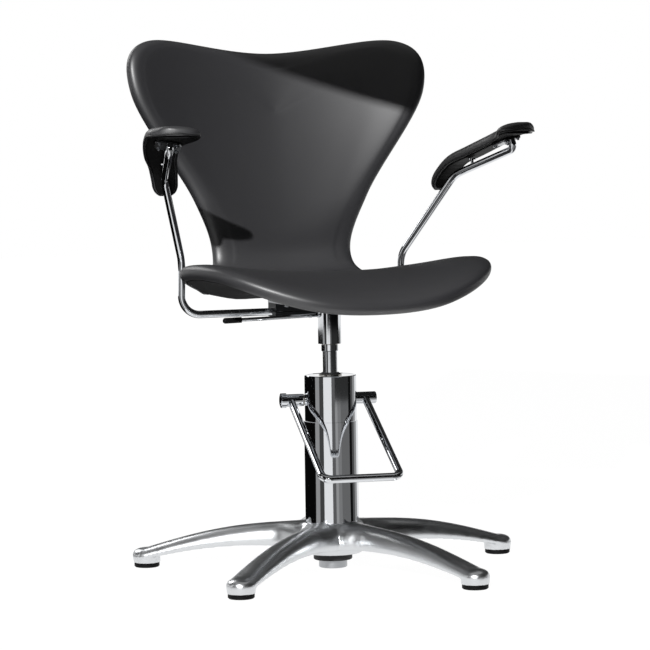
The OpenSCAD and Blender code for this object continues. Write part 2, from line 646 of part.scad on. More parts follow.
clamp_w = 72;
clamp_screw_edge = 6;
clamp_cap_t = 8;
clamp_split = 0.5;
clamp_screw_x = 26;
module clamp_holes(r) for (x = [-clamp_screw_x, clamp_screw_x], y = [-1, 1])
    translate([x, cross_y + y * (clamp_l / 2 - clamp_screw_edge), cross_z - clamp_l]) cylinder(r = r, h = 2 * clamp_l);
module clamp_bore() translate([-clamp_w, cross_y, cross_z]) rotate([0, 90, 0])
    cylinder(r = arm_d / 2 + run_gap, h = 2 * clamp_w);
module tube_clamp() color(steel) difference() {
    translate([-clamp_w / 2, cross_y - clamp_l / 2, cross_z + clamp_split])
        cube([clamp_w, clamp_l, plate_z - cross_z - clamp_split]);
    clamp_bore();
    clamp_holes(clamp_screw_r + run_gap);
}
module clamp_cap() color(steel) difference() {
    translate([-clamp_w / 2, cross_y - clamp_l / 2, cross_z - clamp_cap_t])
        cube([clamp_w, clamp_l, clamp_cap_t - clamp_split]);
    clamp_bore();
    clamp_holes(clamp_screw_r + run_gap);
}
clamp_screw_r = 2.5;
clamp_head_r = 4.5;
clamp_head_t = 3;
module clamp_screws() color(plastic_black) for (x = [-clamp_screw_x, clamp_screw_x], y = [-1, 1])
    translate([x, cross_y + y * (clamp_l / 2 - clamp_screw_edge), cross_z - clamp_cap_t - clamp_head_t]) {
        cylinder(r = clamp_head_r, h = clamp_head_t);
        cylinder(r = clamp_screw_r, h = clamp_head_t + clamp_cap_t + plate_z - cross_z - edge);
    }

// Arms, drawn on the +X side and mirrored for the other

arm_gap_x = 5;
arm_low_z = 484;
arm_low_fwd = 5;
elbow_out = 57;
elbow_fwd = 96;
elbow_up = 130;
run_out = 39;
run_fwd = 140;
run_up = 41;
arm_bend = 31;
elbow_bend = 45;
front_bend = 10;
splay = atan(run_out / run_fwd);
elbow = [upright_x + elbow_out, cross_y - elbow_fwd, arm_low_z + elbow_up];
arm_front = elbow + [run_out, -run_fwd, run_up];
// Frame of an arm pad: forward along its splay, outward across it, and up from the elbow
function on_arm(fwd, out, up) = elbow + [fwd * sin(splay) + out * cos(splay),
    -fwd * cos(splay) + out * sin(splay), up];
pad_reach = 180;
// Stations of a pad from tail to tip: forward and up as shares of its reach, outer and inner half
// width as shares of its full width, thickness as a share, and its outward rise
pad_share = [[-0.153, -0.144, 0.05, 0.12, 0.45, 0], [-0.147, -0.125, 0.13, 0.2, 0.75, 0],
    [-0.125, -0.08, 0.19, 0.25, 0.95, 0], [-0.078, -0.018, 0.22, 0.25, 1, 0],
    [0.044, 0.08, 0.28, 0.233, 1, 0.05], [0.244, 0.148, 0.37, 0.203, 1, 0.1],
    [0.5, 0.23, 0.42, 0.2, 1, 0.15], [0.656, 0.283, 0.41, 0.23, 1, 0.18],
    [0.778, 0.32, 0.385, 0.38, 1, 0.16], [0.878, 0.338, 0.345, 0.54, 0.96, 0.06],
    [0.944, 0.345, 0.24, 0.52, 0.93, 0.01], [0.983, 0.346, 0.125, 0.37, 0.8, 0], [1, 0.346, 0.02, 0.16, 0.45, 0]];
pad_steps = 3;
pad_last = pad_steps * (len(pad_share) - 1);
pad_stations = concat([for (i = [0:len(pad_share) - 2], j = [0:pad_steps - 1])
    catmull(pad_share[max(0, i - 1)], pad_share[i], pad_share[i + 1], pad_share[min(len(pad_share) - 1, i + 2)],
        j / pad_steps)], [pad_share[len(pad_share) - 1]]);
function pad_spot(i) = [pad_stations[i][0], pad_stations[i][1]] * pad_reach;
function pad_tangent(i) = unit(pad_spot(min(i + 1, pad_last)) - pad_spot(max(i - 1, 0)));
function pad_index(fwd) = [for (i = [0:pad_last]) if (pad_spot(i).x > fwd) i][0];
// Half of the pad's section, as shares of its half width and thickness
pad_section_share = [[0.84, 0], [0.97, 0.12], [1, 0.3], [0.96, 0.52], [0.83, 0.73], [0.6, 0.9], [0.28, 0.99]];
module pad_loft(trim, inset, low, high, crown, section, turn = 0) {
    loft([for (i = [trim:pad_last - trim]) let (
        spot = pad_spot(i),
        along = pad_tangent(i),
        up = [-along.y, along.x],
        t = mix(1, pad_stations[i][4], crown),
        bottom = mix((low + high) / 2, low, min(1, t)),
        top = mix((low + high) / 2, high * max(1, t), min(1, t)),
        right = [for (s = section) [s[0] * (pad_stations[i][2] * pad_w - inset), s[1]]],
        left = [for (k = [len(section) - 1:-1:0])
            [-section[k][0] * (pad_stations[i][3] * pad_w - inset), section[k][1]]])
        [for (q = concat(right, left)) let (h = mix(bottom, top, q[1]) + q[0] * pad_stations[i][5])
            on_arm(spot.x + up.x * h, q[0], spot.y + up.y * h)]], turn);
}
module side_of(side) mirror([side < 0 ? 1 : 0, 0, 0]) children();

pad_base_t = 4;
module arm_pad(side) color(leather_black) side_of(side)
    pad_loft(0, 0, pad_base_t + seat_gap, pad_t, 1, pad_section_share);
module arm_pad_left() arm_pad(1);
module arm_pad_right() arm_pad(-1);

base_inset = 4;
base_low = 2;
base_lap = 0.5;
base_section_share = [[0.9, 0], [1, 0.5], [1, 1]];
module arm_base(side) color(plastic_black) difference() {
    union() {
        side_of(side) pad_loft(pad_steps, base_inset, base_low, pad_base_t, 0, base_section_share, pad_last);
        difference() {
            on_bracket(side) translate([0, 0, -bracket_clear]) bracket_plate(bracket_clear + pad_base_t);
            side_of(side) pad_loft(0, -base_inset, base_low + base_lap, pad_base_t + pad_t, 0, base_section_share);
        }
    }
    on_bracket(side) translate([0, 0, -bracket_clear - pad_t]) bracket_plate(pad_t);
}

// Bracket under the front of the pad
bracket_fwd = 126;
bracket_l = 38;
bracket_w = 40;
bracket_t = 2.5;
bracket_corner = 10;
bracket_clear = 0.3;
bracket_index = pad_index(bracket_fwd);
bracket_spot = pad_spot(bracket_index);
bracket_tilt = atan2(pad_tangent(bracket_index).y, pad_tangent(bracket_index).x);
bracket_roll = atan(pad_stations[bracket_index][5]);
module on_bracket(side) side_of(side) translate(on_arm(bracket_spot.x, 0, bracket_spot.y))
    rotate([0, 0, splay - 90]) rotate([0, -bracket_tilt, 0]) rotate([bracket_roll, 0, 0]) children();
module bracket_plate(t) linear_extrude(t) hull()
    for (x = [-1, 1], y = [-1, 1]) translate([x * (bracket_l / 2 - bracket_corner),
        y * (bracket_w / 2 - bracket_corner)]) circle(r = bracket_corner);
front_run = norm([run_out, run_fwd]);
above_bracket = cos(bracket_roll)
    * ((run_up - bracket_spot.y) * cos(bracket_tilt) - (front_run - bracket_spot.x) * sin(bracket_tilt));
arm_end_l = -bracket_clear - bracket_t - above_bracket;
arm_end = arm_front + (on_arm(-cos(bracket_roll) * sin(bracket_tilt), -sin(bracket_roll),
    cos(bracket_roll) * cos(bracket_tilt)) - elbow) * arm_end_l;
post_fwd = 35;
post_r = 2.5;
post_head_r = 7;
post_head_t = 2;
post_clear = 2.4;
post_spot = pad_spot(pad_index(post_fwd));
post_top = post_spot.y + base_low - post_clear;
module arm_tube(side) color(bright) side_of(side) {
    bent_bar([[arm_gap_x, cross_y, cross_z], [upright_x, cross_y, cross_z],
        [upright_x, cross_y - arm_low_fwd, arm_low_z], elbow, arm_front, arm_end],
        [arm_bend, elbow_bend, elbow_bend, front_bend], arm_d / 2);
    bar(on_arm(post_spot.x, 0, post_spot.x * run_up / front_run), on_arm(post_spot.x, 0, post_top), post_r);
    bar(on_arm(post_spot.x, 0, post_top - post_head_t), on_arm(post_spot.x, 0, post_top), post_head_r);
}
module arm_tube_left() arm_tube(1);
module arm_tube_right() arm_tube(-1);

pad_screw_fwd = 13;
pad_screw_out = 13;
pad_screw_r = 1.8;
pad_screw_head_r = 3.5;
pad_screw_head_t = 2;
module at_pad_screws() for (x = [-pad_screw_fwd, pad_screw_fwd], y = [-pad_screw_out, pad_screw_out])
    translate([x, y, -bracket_clear - bracket_t]) children();
module arm_bracket(side) color(steel) on_bracket(side) difference() {
    translate([0, 0, -bracket_clear - bracket_t]) bracket_plate(bracket_t);
    at_pad_screws() translate([0, 0, -over]) cylinder(r = pad_screw_r + run_gap, h = bracket_t + 2 * over);
}
module arm_bracket_left() arm_bracket(1);
module arm_bracket_right() arm_bracket(-1);
module arm_base_left() arm_base(1);
module arm_base_right() arm_base(-1);

module pad_screws() color(steel) for (side = [-1, 1]) on_bracket(side) at_pad_screws() {
    translate([0, 0, -pad_screw_head_t]) cylinder(r1 = pad_screw_head_r - edge, r2 = pad_screw_head_r,
        h = pad_screw_head_t);
    cylinder(r = pad_screw_r, h = bracket_t);
}

// Locking lever under the seat, on the sitter's right, pivoted behind the seat tube

lock_r = 24;
lock_t = 7;
lug_y = 30;
lug_w = 16;
lug_r = 6.5;
lever_eye_r = 5.5;
lever_eye_w = 6;
lever_pin_r = 2.5;
shoe_r = 3.5;
shoe_gap = 0.3;
module along_y(r, w) translate([0, w / 2, 0]) rotate([90, 0, 0]) cylinder(r = r, h = w);
module at_lever() translate([0, lug_y, lever_z]) children();
module lock_collar() color(plastic_black) difference() {
    union() {
        translate([0, 0, plate_z - lock_t]) cylinder(r = lock_r, h = lock_t);
        translate([-lug_r, lug_y - lug_w / 2, lever_z]) cube([2 * lug_r, lug_w, plate_z - lever_z]);
        at_lever() along_y(lug_r, lug_w);
    }
    translate([0, 0, lever_z - lock_r]) cylinder(r = seat_tube_r + run_gap, h = plate_z);
    at_lever() translate([-lock_r, -lever_eye_w / 2 - seat_gap, -lock_r])
        cube([2 * lock_r, lever_eye_w + 2 * seat_gap, lock_r + lever_eye_r + seat_gap]);
    at_lever() along_y(lever_pin_r, lug_w + 2 * over);
}

module brake_shoe() color(bronze) translate([0, spindle_r + shoe_gap, lever_z]) rotate([-90, 0, 0])
    cylinder(r = shoe_r, h = lug_y - lug_w / 2 - spindle_r - 2 * shoe_gap);

module lever_pin() color(steel) at_lever() along_y(lever_pin_r, lug_w);

grip_l = 26;
lever_droop = 3;
module lever_rod() color(bright) at_lever() difference() {
    union() {
        along_y(lever_eye_r, lever_eye_w);
        bar([0, 0, 0], [-lever_reach, 0, -lever_droop], lever_d / 2);
    }
    along_y(lever_pin_r + run_gap, lever_eye_w + 2 * over);
}

module lever_grip() color(plastic_black) at_lever()
    rotate([0, -90 - atan(lever_droop / lever_reach), 0]) translate([0, 0, lever_reach - grip_l])
        difference() {
            union() {
                cylinder(r = grip_d / 2, h = grip_l);
                translate([0, 0, grip_l]) sphere(r = grip_d / 2);
            }
            translate([0, 0, -over]) cylinder(r = lever_d / 2 + run_gap, h = grip_l + over + seat_gap);
        }

star_base();
glide_1();
glide_2();
glide_3();
glide_4();
glide_5();
column_sleeve();
pump_housing();
top_cap();
guide_bush();
rod_wiper();
base_washer();
clamp_nut();
pump_manifold();
lift_barrel();
barrel_gland();
pump_cylinder();
axle_bush_left();
axle_bush_right();
pedal_axle();
pedal_hub_left();
pedal_hub_right();
pedal_bail();
hub_screws();
pedal_crank();
pump_plunger();
plunger_spring();
piston_rod();
piston_head();
piston_ring();
rod_collar();
thrust_washer();
seat_tube();
seat_plate();
rubber_spacers();
seat_screws();
tube_clamp();
clamp_cap();
clamp_screws();
shell_core();
front_pad();
rear_cover();
arm_tube_left();
arm_tube_right();
arm_bracket_left();
arm_bracket_right();
arm_base_left();
arm_base_right();
arm_pad_left();
arm_pad_right();
pad_screws();
lock_collar();
brake_shoe();
lever_pin();
lever_rod();
lever_grip();
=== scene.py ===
import json
import math

import bmesh
import bpy
from mathutils import Matrix, Vector, kdtree


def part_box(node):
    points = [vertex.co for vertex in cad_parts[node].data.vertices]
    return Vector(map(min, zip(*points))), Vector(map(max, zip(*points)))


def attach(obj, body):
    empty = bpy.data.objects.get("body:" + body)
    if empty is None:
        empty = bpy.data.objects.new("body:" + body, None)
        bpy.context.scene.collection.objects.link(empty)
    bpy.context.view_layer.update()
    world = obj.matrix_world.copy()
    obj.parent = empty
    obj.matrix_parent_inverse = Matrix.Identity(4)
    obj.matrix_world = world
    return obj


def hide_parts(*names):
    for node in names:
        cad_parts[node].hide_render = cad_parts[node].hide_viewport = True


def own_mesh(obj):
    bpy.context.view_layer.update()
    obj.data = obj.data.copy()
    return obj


mm = 0.001
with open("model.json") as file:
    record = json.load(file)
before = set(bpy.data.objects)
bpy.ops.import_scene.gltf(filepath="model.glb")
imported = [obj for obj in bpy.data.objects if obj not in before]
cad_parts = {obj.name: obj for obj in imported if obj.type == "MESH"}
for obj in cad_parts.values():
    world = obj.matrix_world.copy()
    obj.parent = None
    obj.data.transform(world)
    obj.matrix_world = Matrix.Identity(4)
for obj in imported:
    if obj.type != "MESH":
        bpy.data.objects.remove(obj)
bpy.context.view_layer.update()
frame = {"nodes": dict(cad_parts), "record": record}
nodes = frame["nodes"]
print("frame loaded with", len(nodes), "nodes")


def mix(a, b, t):
    return a + (b - a) * t


def clamp(x, low=0.0, high=1.0):
    return min(high, max(low, x))


def ease(a, b, x):
    t = clamp((x - a) / (b - a))
    return t * t * (3 - 2 * t)


def lookUp(x, table):
    if x <= table[0][0]:
        return table[0][1]
    for (x0, y0), (x1, y1) in zip(table, table[1:]):
        if x <= x1:
            return mix(y0, y1, (x - x0) / (x1 - x0))
    return table[-1][1]


def catmull(p0, p1, p2, p3, t):  # a smooth curve between p1 and p2, for tuples of any length
    return tuple(0.5 * (2 * b + (c - a) * t + (2 * a - 5 * b + 4 * c - d) * t * t
                        + (3 * b - a - 3 * c + d) * t ** 3) for a, b, c, d in zip(p0, p1, p2, p3))


def closedCurve(points, steps):
    n = len(points)
    return [catmull(points[i - 1], points[i], points[(i + 1) % n], points[(i + 2) % n], j / steps)
            for i in range(n) for j in range(steps)]


def openCurve(points, steps):
    last = len(points) - 1
    out = []
    for i in range(last):
        four = (points[max(0, i - 1)], points[i], points[i + 1], points[min(last, i + 2)])
        out += [catmull(*four, j / steps) for j in range(steps)]
    return out + [tuple(points[-1])]


def newObject(name, mesh, material):
    obj = bpy.data.objects.new(name, mesh)
    bpy.context.scene.collection.objects.link(obj)
    mesh.materials.clear()
    mesh.materials.append(material)
    return obj


def smoothShade(mesh, angle=40):
    mesh.shade_smooth()
    mesh.set_sharp_from_angle(angle=math.radians(angle))


def ringMesh(name, rings, closeEnds=True):  # a skin through rings of equal count, points in mm
    bm = bmesh.new()
    grid = [[bm.verts.new([c * mm for c in p]) for p in ring] for ring in rings]
    for lower, upper in zip(grid, grid[1:]):
        for i in range(len(lower)):
            j = (i + 1) % len(lower)
            bm.faces.new((lower[i], lower[j], upper[j], upper[i]))
    if closeEnds:
        for ring, flip in ((grid[0], True), (grid[-1], False)):
            bm.faces.new(ring[::-1] if flip else ring)
    bmesh.ops.recalc_face_normals(bm, faces=bm.faces)
    mesh = bpy.data.meshes.new(name)
    bm.to_mesh(mesh)
    bm.free()
    return mesh


def weld(mesh, distance=0.01):  # joins points closer than that, in mm, and turns the faces outwards
    bm = bmesh.new()
    bm.from_mesh(mesh)
    bmesh.ops.remove_doubles(bm, verts=bm.verts, dist=distance * mm)
    bmesh.ops.recalc_face_normals(bm, faces=bm.faces)
    bm.to_mesh(mesh)
    bm.free()
    return mesh


def tubeAlong(name, points, radius, sides=10, closed=True):  # a round cord sewn along a path, in mm
    n = len(points)
    path = [Vector(p) for p in points]
    rings = []
    side = None
    for i, p in enumerate(path):
        ahead = path[(i + 1) % n] if closed else path[min(i + 1, n - 1)]
        behind = path[i - 1] if closed or i else path[0]
        along = (ahead - behind).normalized()
        if side is None:
            side = along.orthogonal().normalized()
        side = (side - along * side.dot(along)).normalized()
        up = along.cross(side)
        turns = [2 * math.pi * k / sides for k in range(sides)]
        rings.append([p + (side * math.cos(t) + up * math.sin(t)) * radius for t in turns])
    if closed:
        twist = min(range(sides), key=lambda k: (rings[0][k] - rings[-1][0]).length)
        rings.append(rings[0][twist:] + rings[0][:twist])
    return weld(ringMesh(name, rings, closeEnds=not closed))


def linear(hexColour):  # sRGB hex to the linear values that the shader wants
    parts = [int(hexColour[i:i + 2], 16) / 255 for i in (1, 3, 5)]
    parts = [c / 12.92 if c <= 0.04045 else ((c + 0.055) / 1.055) ** 2.4 for c in parts]
    return (*parts, 1.0)


def addNode(tree, kind, inputs=None, **settings):  # inputs are values, or sockets that feed them
    node = tree.nodes.new(kind)
    for name, value in settings.items():
        setattr(node, name, value)
    for name, value in (inputs or {}).items():
        if isinstance(value, bpy.types.NodeSocket):
            tree.links.new(value, node.inputs[name])
        else:
            node.inputs[name].default_value = value
    return node


def newMaterial(name, colour, roughness, metallic=0.0, **more):
    material = bpy.data.materials.new(name)
    material.use_nodes = True
    tree = material.node_tree
    shader = tree.nodes["Principled BSDF"]
    shader.inputs["Base Color"].default_value = linear(colour)
    shader.inputs["Roughness"].default_value = roughness
    shader.inputs["Metallic"].default_value = metallic
    for key, value in more.items():
        shader.inputs[key.replace("_", " ")].default_value = value
    return material, tree, shader


def addGrain(tree, shader, size, depth, stretch=(1, 1, 1), rough=None, kind="ShaderNodeTexNoise"):
    # a fine relief of one size in mm, and with rough a little change of gloss with it
    place = addNode(tree, "ShaderNodeTexCoord")
    turned = addNode(tree, "ShaderNodeMapping", {
        "Vector": place.outputs["Object"], "Scale": stretch})
    pattern = addNode(tree, kind, {"Vector": turned.outputs["Vector"], "Scale": 1 / (size * mm)})
    value = pattern.outputs["Distance" if kind == "ShaderNodeTexVoronoi" else "Fac"]
    bump = addNode(tree, "ShaderNodeBump", {
        "Height": value, "Strength": 1.0, "Distance": depth * mm})
    tree.links.new(bump.outputs["Normal"], shader.inputs["Normal"])
    if rough:
        change = addNode(tree, "ShaderNodeMapRange", {
            "Value": value, "To Min": rough[0], "To Max": rough[1]})
        tree.links.new(change.outputs["Result"], shader.inputs["Roughness"])


# Semi-aniline cowhide, sprayed black and rolled smooth: satin. Its pores are under 1 mm wide, and
# they are drawn at 1.2 mm so that they show
blackLeather, tree, shader = newMaterial(
    "smoothBlackLeather", "#222225", 0.46, Specular_IOR_Level=1.0, IOR=1.58)
addGrain(tree, shader, size=1.2, depth=0.03, rough=(0.44, 0.5), kind="ShaderNodeTexVoronoi")
# The same hide on the rear and under the seat, left matt; its tone, darker than the front leather,
# is painted shade under the seat
shadeDarkenedLeather, tree, shader = newMaterial("mattLeatherPaintedShade", "#151516", 0.55, Specular_IOR_Level=0.3)
addGrain(tree, shader, size=1.4, depth=0.05, rough=(0.5, 0.6), kind="ShaderNodeTexVoronoi")
# Skived piping of the same hide, a little duller, and the nylon thread of the row beside it
pipingLeather, tree, shader = newMaterial("pipingLeather", "#121214", 0.48)
addGrain(tree, shader, size=0.9, depth=0.03)
bondedThread, tree, shader = newMaterial("bondedNylonThread", "#1c1c1f", 0.5)
# Hard chrome on polished tube: a mirror with the least of haze
chromedSteel, tree, shader = newMaterial("chromedSteelTube", "#d7d9dc", 0.045, 1.0)
# Ground and polished rod, brighter than the plated covers
groundSteel, tree, shader = newMaterial("groundSteelRod", "#c9cbce", 0.1, 1.0)
# Cast aluminium, ground and buffed: soft reflections that waver over a few millimetres
buffedAluminium, tree, shader = newMaterial("buffedCastAluminium", "#d6d8da", 0.3, 1.0)
addGrain(tree, shader, size=22, depth=0.35, rough=(0.24, 0.38))
# Zinc-plated machine screws
zincSteel, tree, shader = newMaterial("zincPlatedSteel", "#aeb1b5", 0.26, 1.0)
# Pressed and brushed steel plate
brushedSteel, tree, shader = newMaterial("brushedSteelPlate", "#a9abae", 0.3, 1.0)
addGrain(tree, shader, size=0.8, depth=0.02, stretch=(0.06, 1, 1), rough=(0.26, 0.36))
# Phosphated pump parts, dark and dull
phosphatedSteel, tree, shader = newMaterial("phosphatedSteel", "#3a3b3d", 0.42, 0.9)
# Moulded polypropylene: dull, with a spark-eroded texture that is drawn coarser than it is, to show
mouldedPlastic, tree, shader = newMaterial(
    "mouldedPolypropylene", "#0b0b0c", 0.58, Specular_IOR_Level=0.1)
addGrain(tree, shader, size=0.7, depth=0.03)
# Nitrile rubber, matt
nitrileRubber, tree, shader = newMaterial("nitrileRubber", "#101011", 0.62)
addGrain(tree, shader, size=1.0, depth=0.03)
# Bronze bushes with the nickel plate that their faces show
nickelledBronze, tree, shader = newMaterial("nickelledBronze", "#b3b1ac", 0.2, 1.0)
# Bent beech veneer, which shows only inside the spacers' holes: the rest lies between the leathers
beechVeneer, tree, shader = newMaterial("bentBeechVeneer", "#b98f5f", 0.5)
addGrain(tree, shader, size=2.0, depth=0.05, stretch=(1, 0.08, 1))

finishOfSlot = {
    "cast_alloy": buffedAluminium, "chrome": chromedSteel, "steel": brushedSteel,
    "dark_steel": phosphatedSteel, "black_plastic": mouldedPlastic, "black_rubber": nitrileRubber,
    "bronze": nickelledBronze, "bent_ply": beechVeneer, "leather": blackLeather,
}
finishOfNode = {
    "piston_rod": groundSteel, "seat_screws": zincSteel, "hub_screws": zincSteel,
    "clamp_screws": zincSteel, "pad_screws": zincSteel, "lever_pin": zincSteel,
    "tube_clamp": phosphatedSteel, "clamp_cap": phosphatedSteel,
}
slotOfNode = {part["node"]: part["material_slot"] for part in frame["record"]["subparts"]}
for name, obj in nodes.items():
    finish = finishOfNode.get(name) or finishOfSlot.get(slotOfNode.get(name))
    if finish:
        obj.data.materials.clear()
        obj.data.materials.append(finish)
print("finishes given to", len(nodes), "nodes")


def nodeTree(name, sockets):  # each socket is the name, kind and default of a size to change
    tree = bpy.data.node_groups.new(name, "GeometryNodeTree")
    tree.interface.new_socket("Geometry", in_out="INPUT", socket_type="NodeSocketGeometry")
    for label, kind, value in sockets:
        socket = tree.interface.new_socket(label, in_out="INPUT", socket_type=kind)
        if value is not None:
            socket.default_value = value
    tree.interface.new_socket("Geometry", in_out="OUTPUT", socket_type="NodeSocketGeometry")
    return tree, addNode(tree, "NodeGroupInput").outputs


def finishTree(tree, instances, material):  # each tree ends in real geometry with its finish
    real = addNode(tree, "GeometryNodeRealizeInstances", {"Geometry": instances})
    dressed = addNode(tree, "GeometryNodeSetMaterial", {
        "Geometry": real.outputs["Geometry"], "Material": material})
    addNode(tree, "NodeGroupOutput", {"Geometry": dressed.outputs["Geometry"]})


def growFrom(name, mesh, tree, values, material):
    # runs a tree on a mesh and keeps the result as a plain mesh
    source = newObject(name + "Source", mesh, material)
    modifier = source.modifiers.new("grow", "NODES")
    modifier.node_group = tree
    for item in tree.interface.items_tree:
        if item.in_out == "INPUT" and item.name in values:
            modifier[item.identifier] = values[item.name]
    bpy.context.view_layer.update()
    seen = source.evaluated_get(bpy.context.evaluated_depsgraph_get())
    grown = bpy.data.meshes.new_from_object(seen)
    grown.name = name
    bpy.data.objects.remove(source)
    return newObject(name, grown, material)


def pointMesh(name, points, axes=None):  # bare points in mm, each with the way its piece faces
    mesh = bpy.data.meshes.new(name)
    mesh.from_pydata([[c * mm for c in p] for p in points], [], [])
    if axes:
        facing = mesh.attributes.new("facing", "FLOAT_VECTOR", "POINT")
        for item, axis in zip(facing.data, axes):
            item.vector = axis
    return mesh


ownShare = 0.4  # of its own swelling that a point keeps in each round of evening out


def swell(piece, glued, form):
    # leather over foam: cloth under pressure, held at the points glued to what is below
    mesh = piece.data
    before = [v.co.copy() for v in mesh.vertices]
    spots = kdtree.KDTree(len(glued))
    for i, p in enumerate(glued):
        spots.insert(Vector(p) * mm, i)
    spots.balance()
    isGlued = [spots.find(p)[2] < form["near"] * mm for p in before]
    group = piece.vertex_groups.new(name="glued")
    group.add([i for i, fixed in enumerate(isGlued) if fixed], 1.0, "REPLACE")
    cloth = piece.modifiers.new("cloth", "CLOTH")
    cloth.settings.quality = form["quality"]
    cloth.settings.use_pressure = True
    cloth.settings.uniform_pressure_force = form["pressure"]
    cloth.settings.vertex_group_mass = group.name
    cloth.settings.effector_weights.gravity = 0
    cloth.collision_settings.use_collision = False
    for frameNumber in range(1, form["frames"] + 1):
        bpy.context.scene.frame_set(frameNumber)
    seen = piece.evaluated_get(bpy.context.evaluated_depsgraph_get())
    after = [v.co.copy() for v in seen.data.vertices]
    piece.modifiers.clear()
    piece.vertex_groups.clear()
    bpy.context.scene.frame_set(1)
    outward = [v.normal.copy() for v in mesh.vertices]
    swells = [(new - old).dot(n) for old, new, n in zip(before, after, outward)]
    print(piece.name, "swollen by", round(max(swells) / mm, 2), "mm at most, before the cap")
    swells = [0.0 if fixed else clamp(d, 0, form["cap"] * mm) for d, fixed in zip(swells, isGlued)]
    around = [[] for d in swells]
    for edge in mesh.edges:
        a, b = edge.vertices
        around[a].append(b)
        around[b].append(a)
    for step in range(form["evenOut"]):  # foam spreads what the cloth does at single points
        swells = [0.0 if fixed else
                  ownShare * d + (1 - ownShare) * sum(swells[j] for j in near) / len(near)
                  for d, near, fixed in zip(swells, around, isGlued)]
    for vertex, old, n, d in zip(mesh.vertices, before, outward, swells):
        vertex.co = old + n * d
    mesh.update()


def bake(obj):  # puts the modifiers' result into the mesh
    bpy.context.view_layer.update()
    seen = obj.evaluated_get(bpy.context.evaluated_depsgraph_get())
    result = bpy.data.meshes.new_from_object(seen)
    obj.modifiers.clear()
    obj.data = result
    return obj


def subdivide(piece, levels=1):
    finer = piece.modifiers.new("finer", "SUBSURF")
    finer.levels = finer.render_levels = levels
    return bake(piece)


baseForm = {  # the cast star base, in mm: one hollow leg, then five of them round the hub
    "legCount": 5, "turn": 5, "hubRadius": 51.2, "hubTop": 76, "hubBottom": 26,
    "hubSkirt": [(-6, 0), (0, 6)], "hubCrown": [(0, -12), (-3, -5), (-6, 0)],  # from those edges
    "boreRadius": 42.25, "hubFloor": 36, "spigotHole": 16.2, "cutPast": 20,
    "legWidth": 45, "wall": 6, "arch": 10, "legRoot": 12, "legSteps": 30,
    "footCircle": 300, "footTop": 31, "footUnder": 14, "bossInset": 1, "bossRise": 6,
    "toeAngles": (0, 12, 24, 36, 48, 58, 66, 73, 79),  # degrees round the foot's end
    "glideHeight": 6.3, "stemRadius": 5.05, "stemTop": 18.5,
    "voxel": 2.4, "smoothing": {"rounds": 6, "factor": 0.5},
    "outer": [(0.93, 0), (1, 0.12), (1, 0.34), (0.9, 0.62), (0.68, 0.84), (0.36, 0.96), (0, 1)],
    "inner": [(0, 0.8), (0.34, 0.78), (0.6, 0.66), (0.74, 0.36), (0.76, -0.02)],
    "innerWidth": 0.76, "hollowTo": 0.75, "shut": 0.02,  # shares: the hollow closes near the foot
}


def legRing(r):
    b = baseForm
    foot = b["legWidth"] / 2
    along = (r - b["hubRadius"]) / (b["footCircle"] - b["hubRadius"])
    arch = b["arch"] * math.sin(math.pi * clamp(along))
    top = mix(b["hubTop"], b["footTop"], along) + arch
    under = mix(b["hubBottom"] + b["arch"], b["footUnder"], along) + arch
    flare = b["hubRadius"] * math.tan(math.pi / b["legCount"])
    wide = foot + (flare - foot) * (1 - ease(b["hubRadius"], 2 * b["hubRadius"], r)) ** 2
    hollow = mix(b["shut"], 1, ease(1, b["hollowTo"], clamp(along)))
    if r > b["footCircle"]:
        past = math.asin(clamp((r - b["footCircle"]) / foot))
        wide = foot * math.cos(past)
        top = mix(b["footTop"], b["footUnder"], 1 - math.sqrt(math.cos(past)))
        under = b["footUnder"]
        hollow = b["shut"]
    outer = [(x * wide, under + z * (top - under)) for x, z in openCurve(b["outer"], 4)]
    inner = [(x * (wide - b["wall"]) / b["innerWidth"], under + z * hollow * (top - under))
             for x, z in openCurve(b["inner"], 4)]
    mirrored = [(-x, z) for x, z in outer[-2::-1]] + [(-x, z) for x, z in inner[::-1]]
    return [(r, x, z) for x, z in outer + mirrored + inner[1:]]


def lathe(name, profile, sides=96, centre=(0, 0)):
    # a solid turned round a vertical axis, from a profile of radius and height
    turns = [2 * math.pi * k / sides for k in range(sides)]
    rings = [[(centre[0] + r * math.cos(t), centre[1] + r * math.sin(t), z) for t in turns]
             for r, z in profile]
    return weld(ringMesh(name, rings))


def joined(name, meshes):
    bm = bmesh.new()
    for mesh in meshes:
        bm.from_mesh(mesh)
    out = bpy.data.meshes.new(name)
    bm.to_mesh(out)
    bm.free()
    return out


b = baseForm
radii = [mix(b["hubRadius"] - b["legRoot"], b["footCircle"], i / b["legSteps"])
         for i in range(b["legSteps"])]
radii += [b["footCircle"] + b["legWidth"] / 2 * math.sin(math.radians(a)) for a in b["toeAngles"]]
bossRadius = b["legWidth"] / 2 - b["bossInset"]
bossEnds = (b["glideHeight"], b["footUnder"] + b["bossRise"])
boss = lathe("footBoss", [(bossRadius, z) for z in bossEnds], 48, (b["footCircle"], 0))
legMesh = joined("legPattern", [ringMesh("legPattern", [legRing(r) for r in radii]), boss])
leg = newObject("legPattern", legMesh, buffedAluminium)

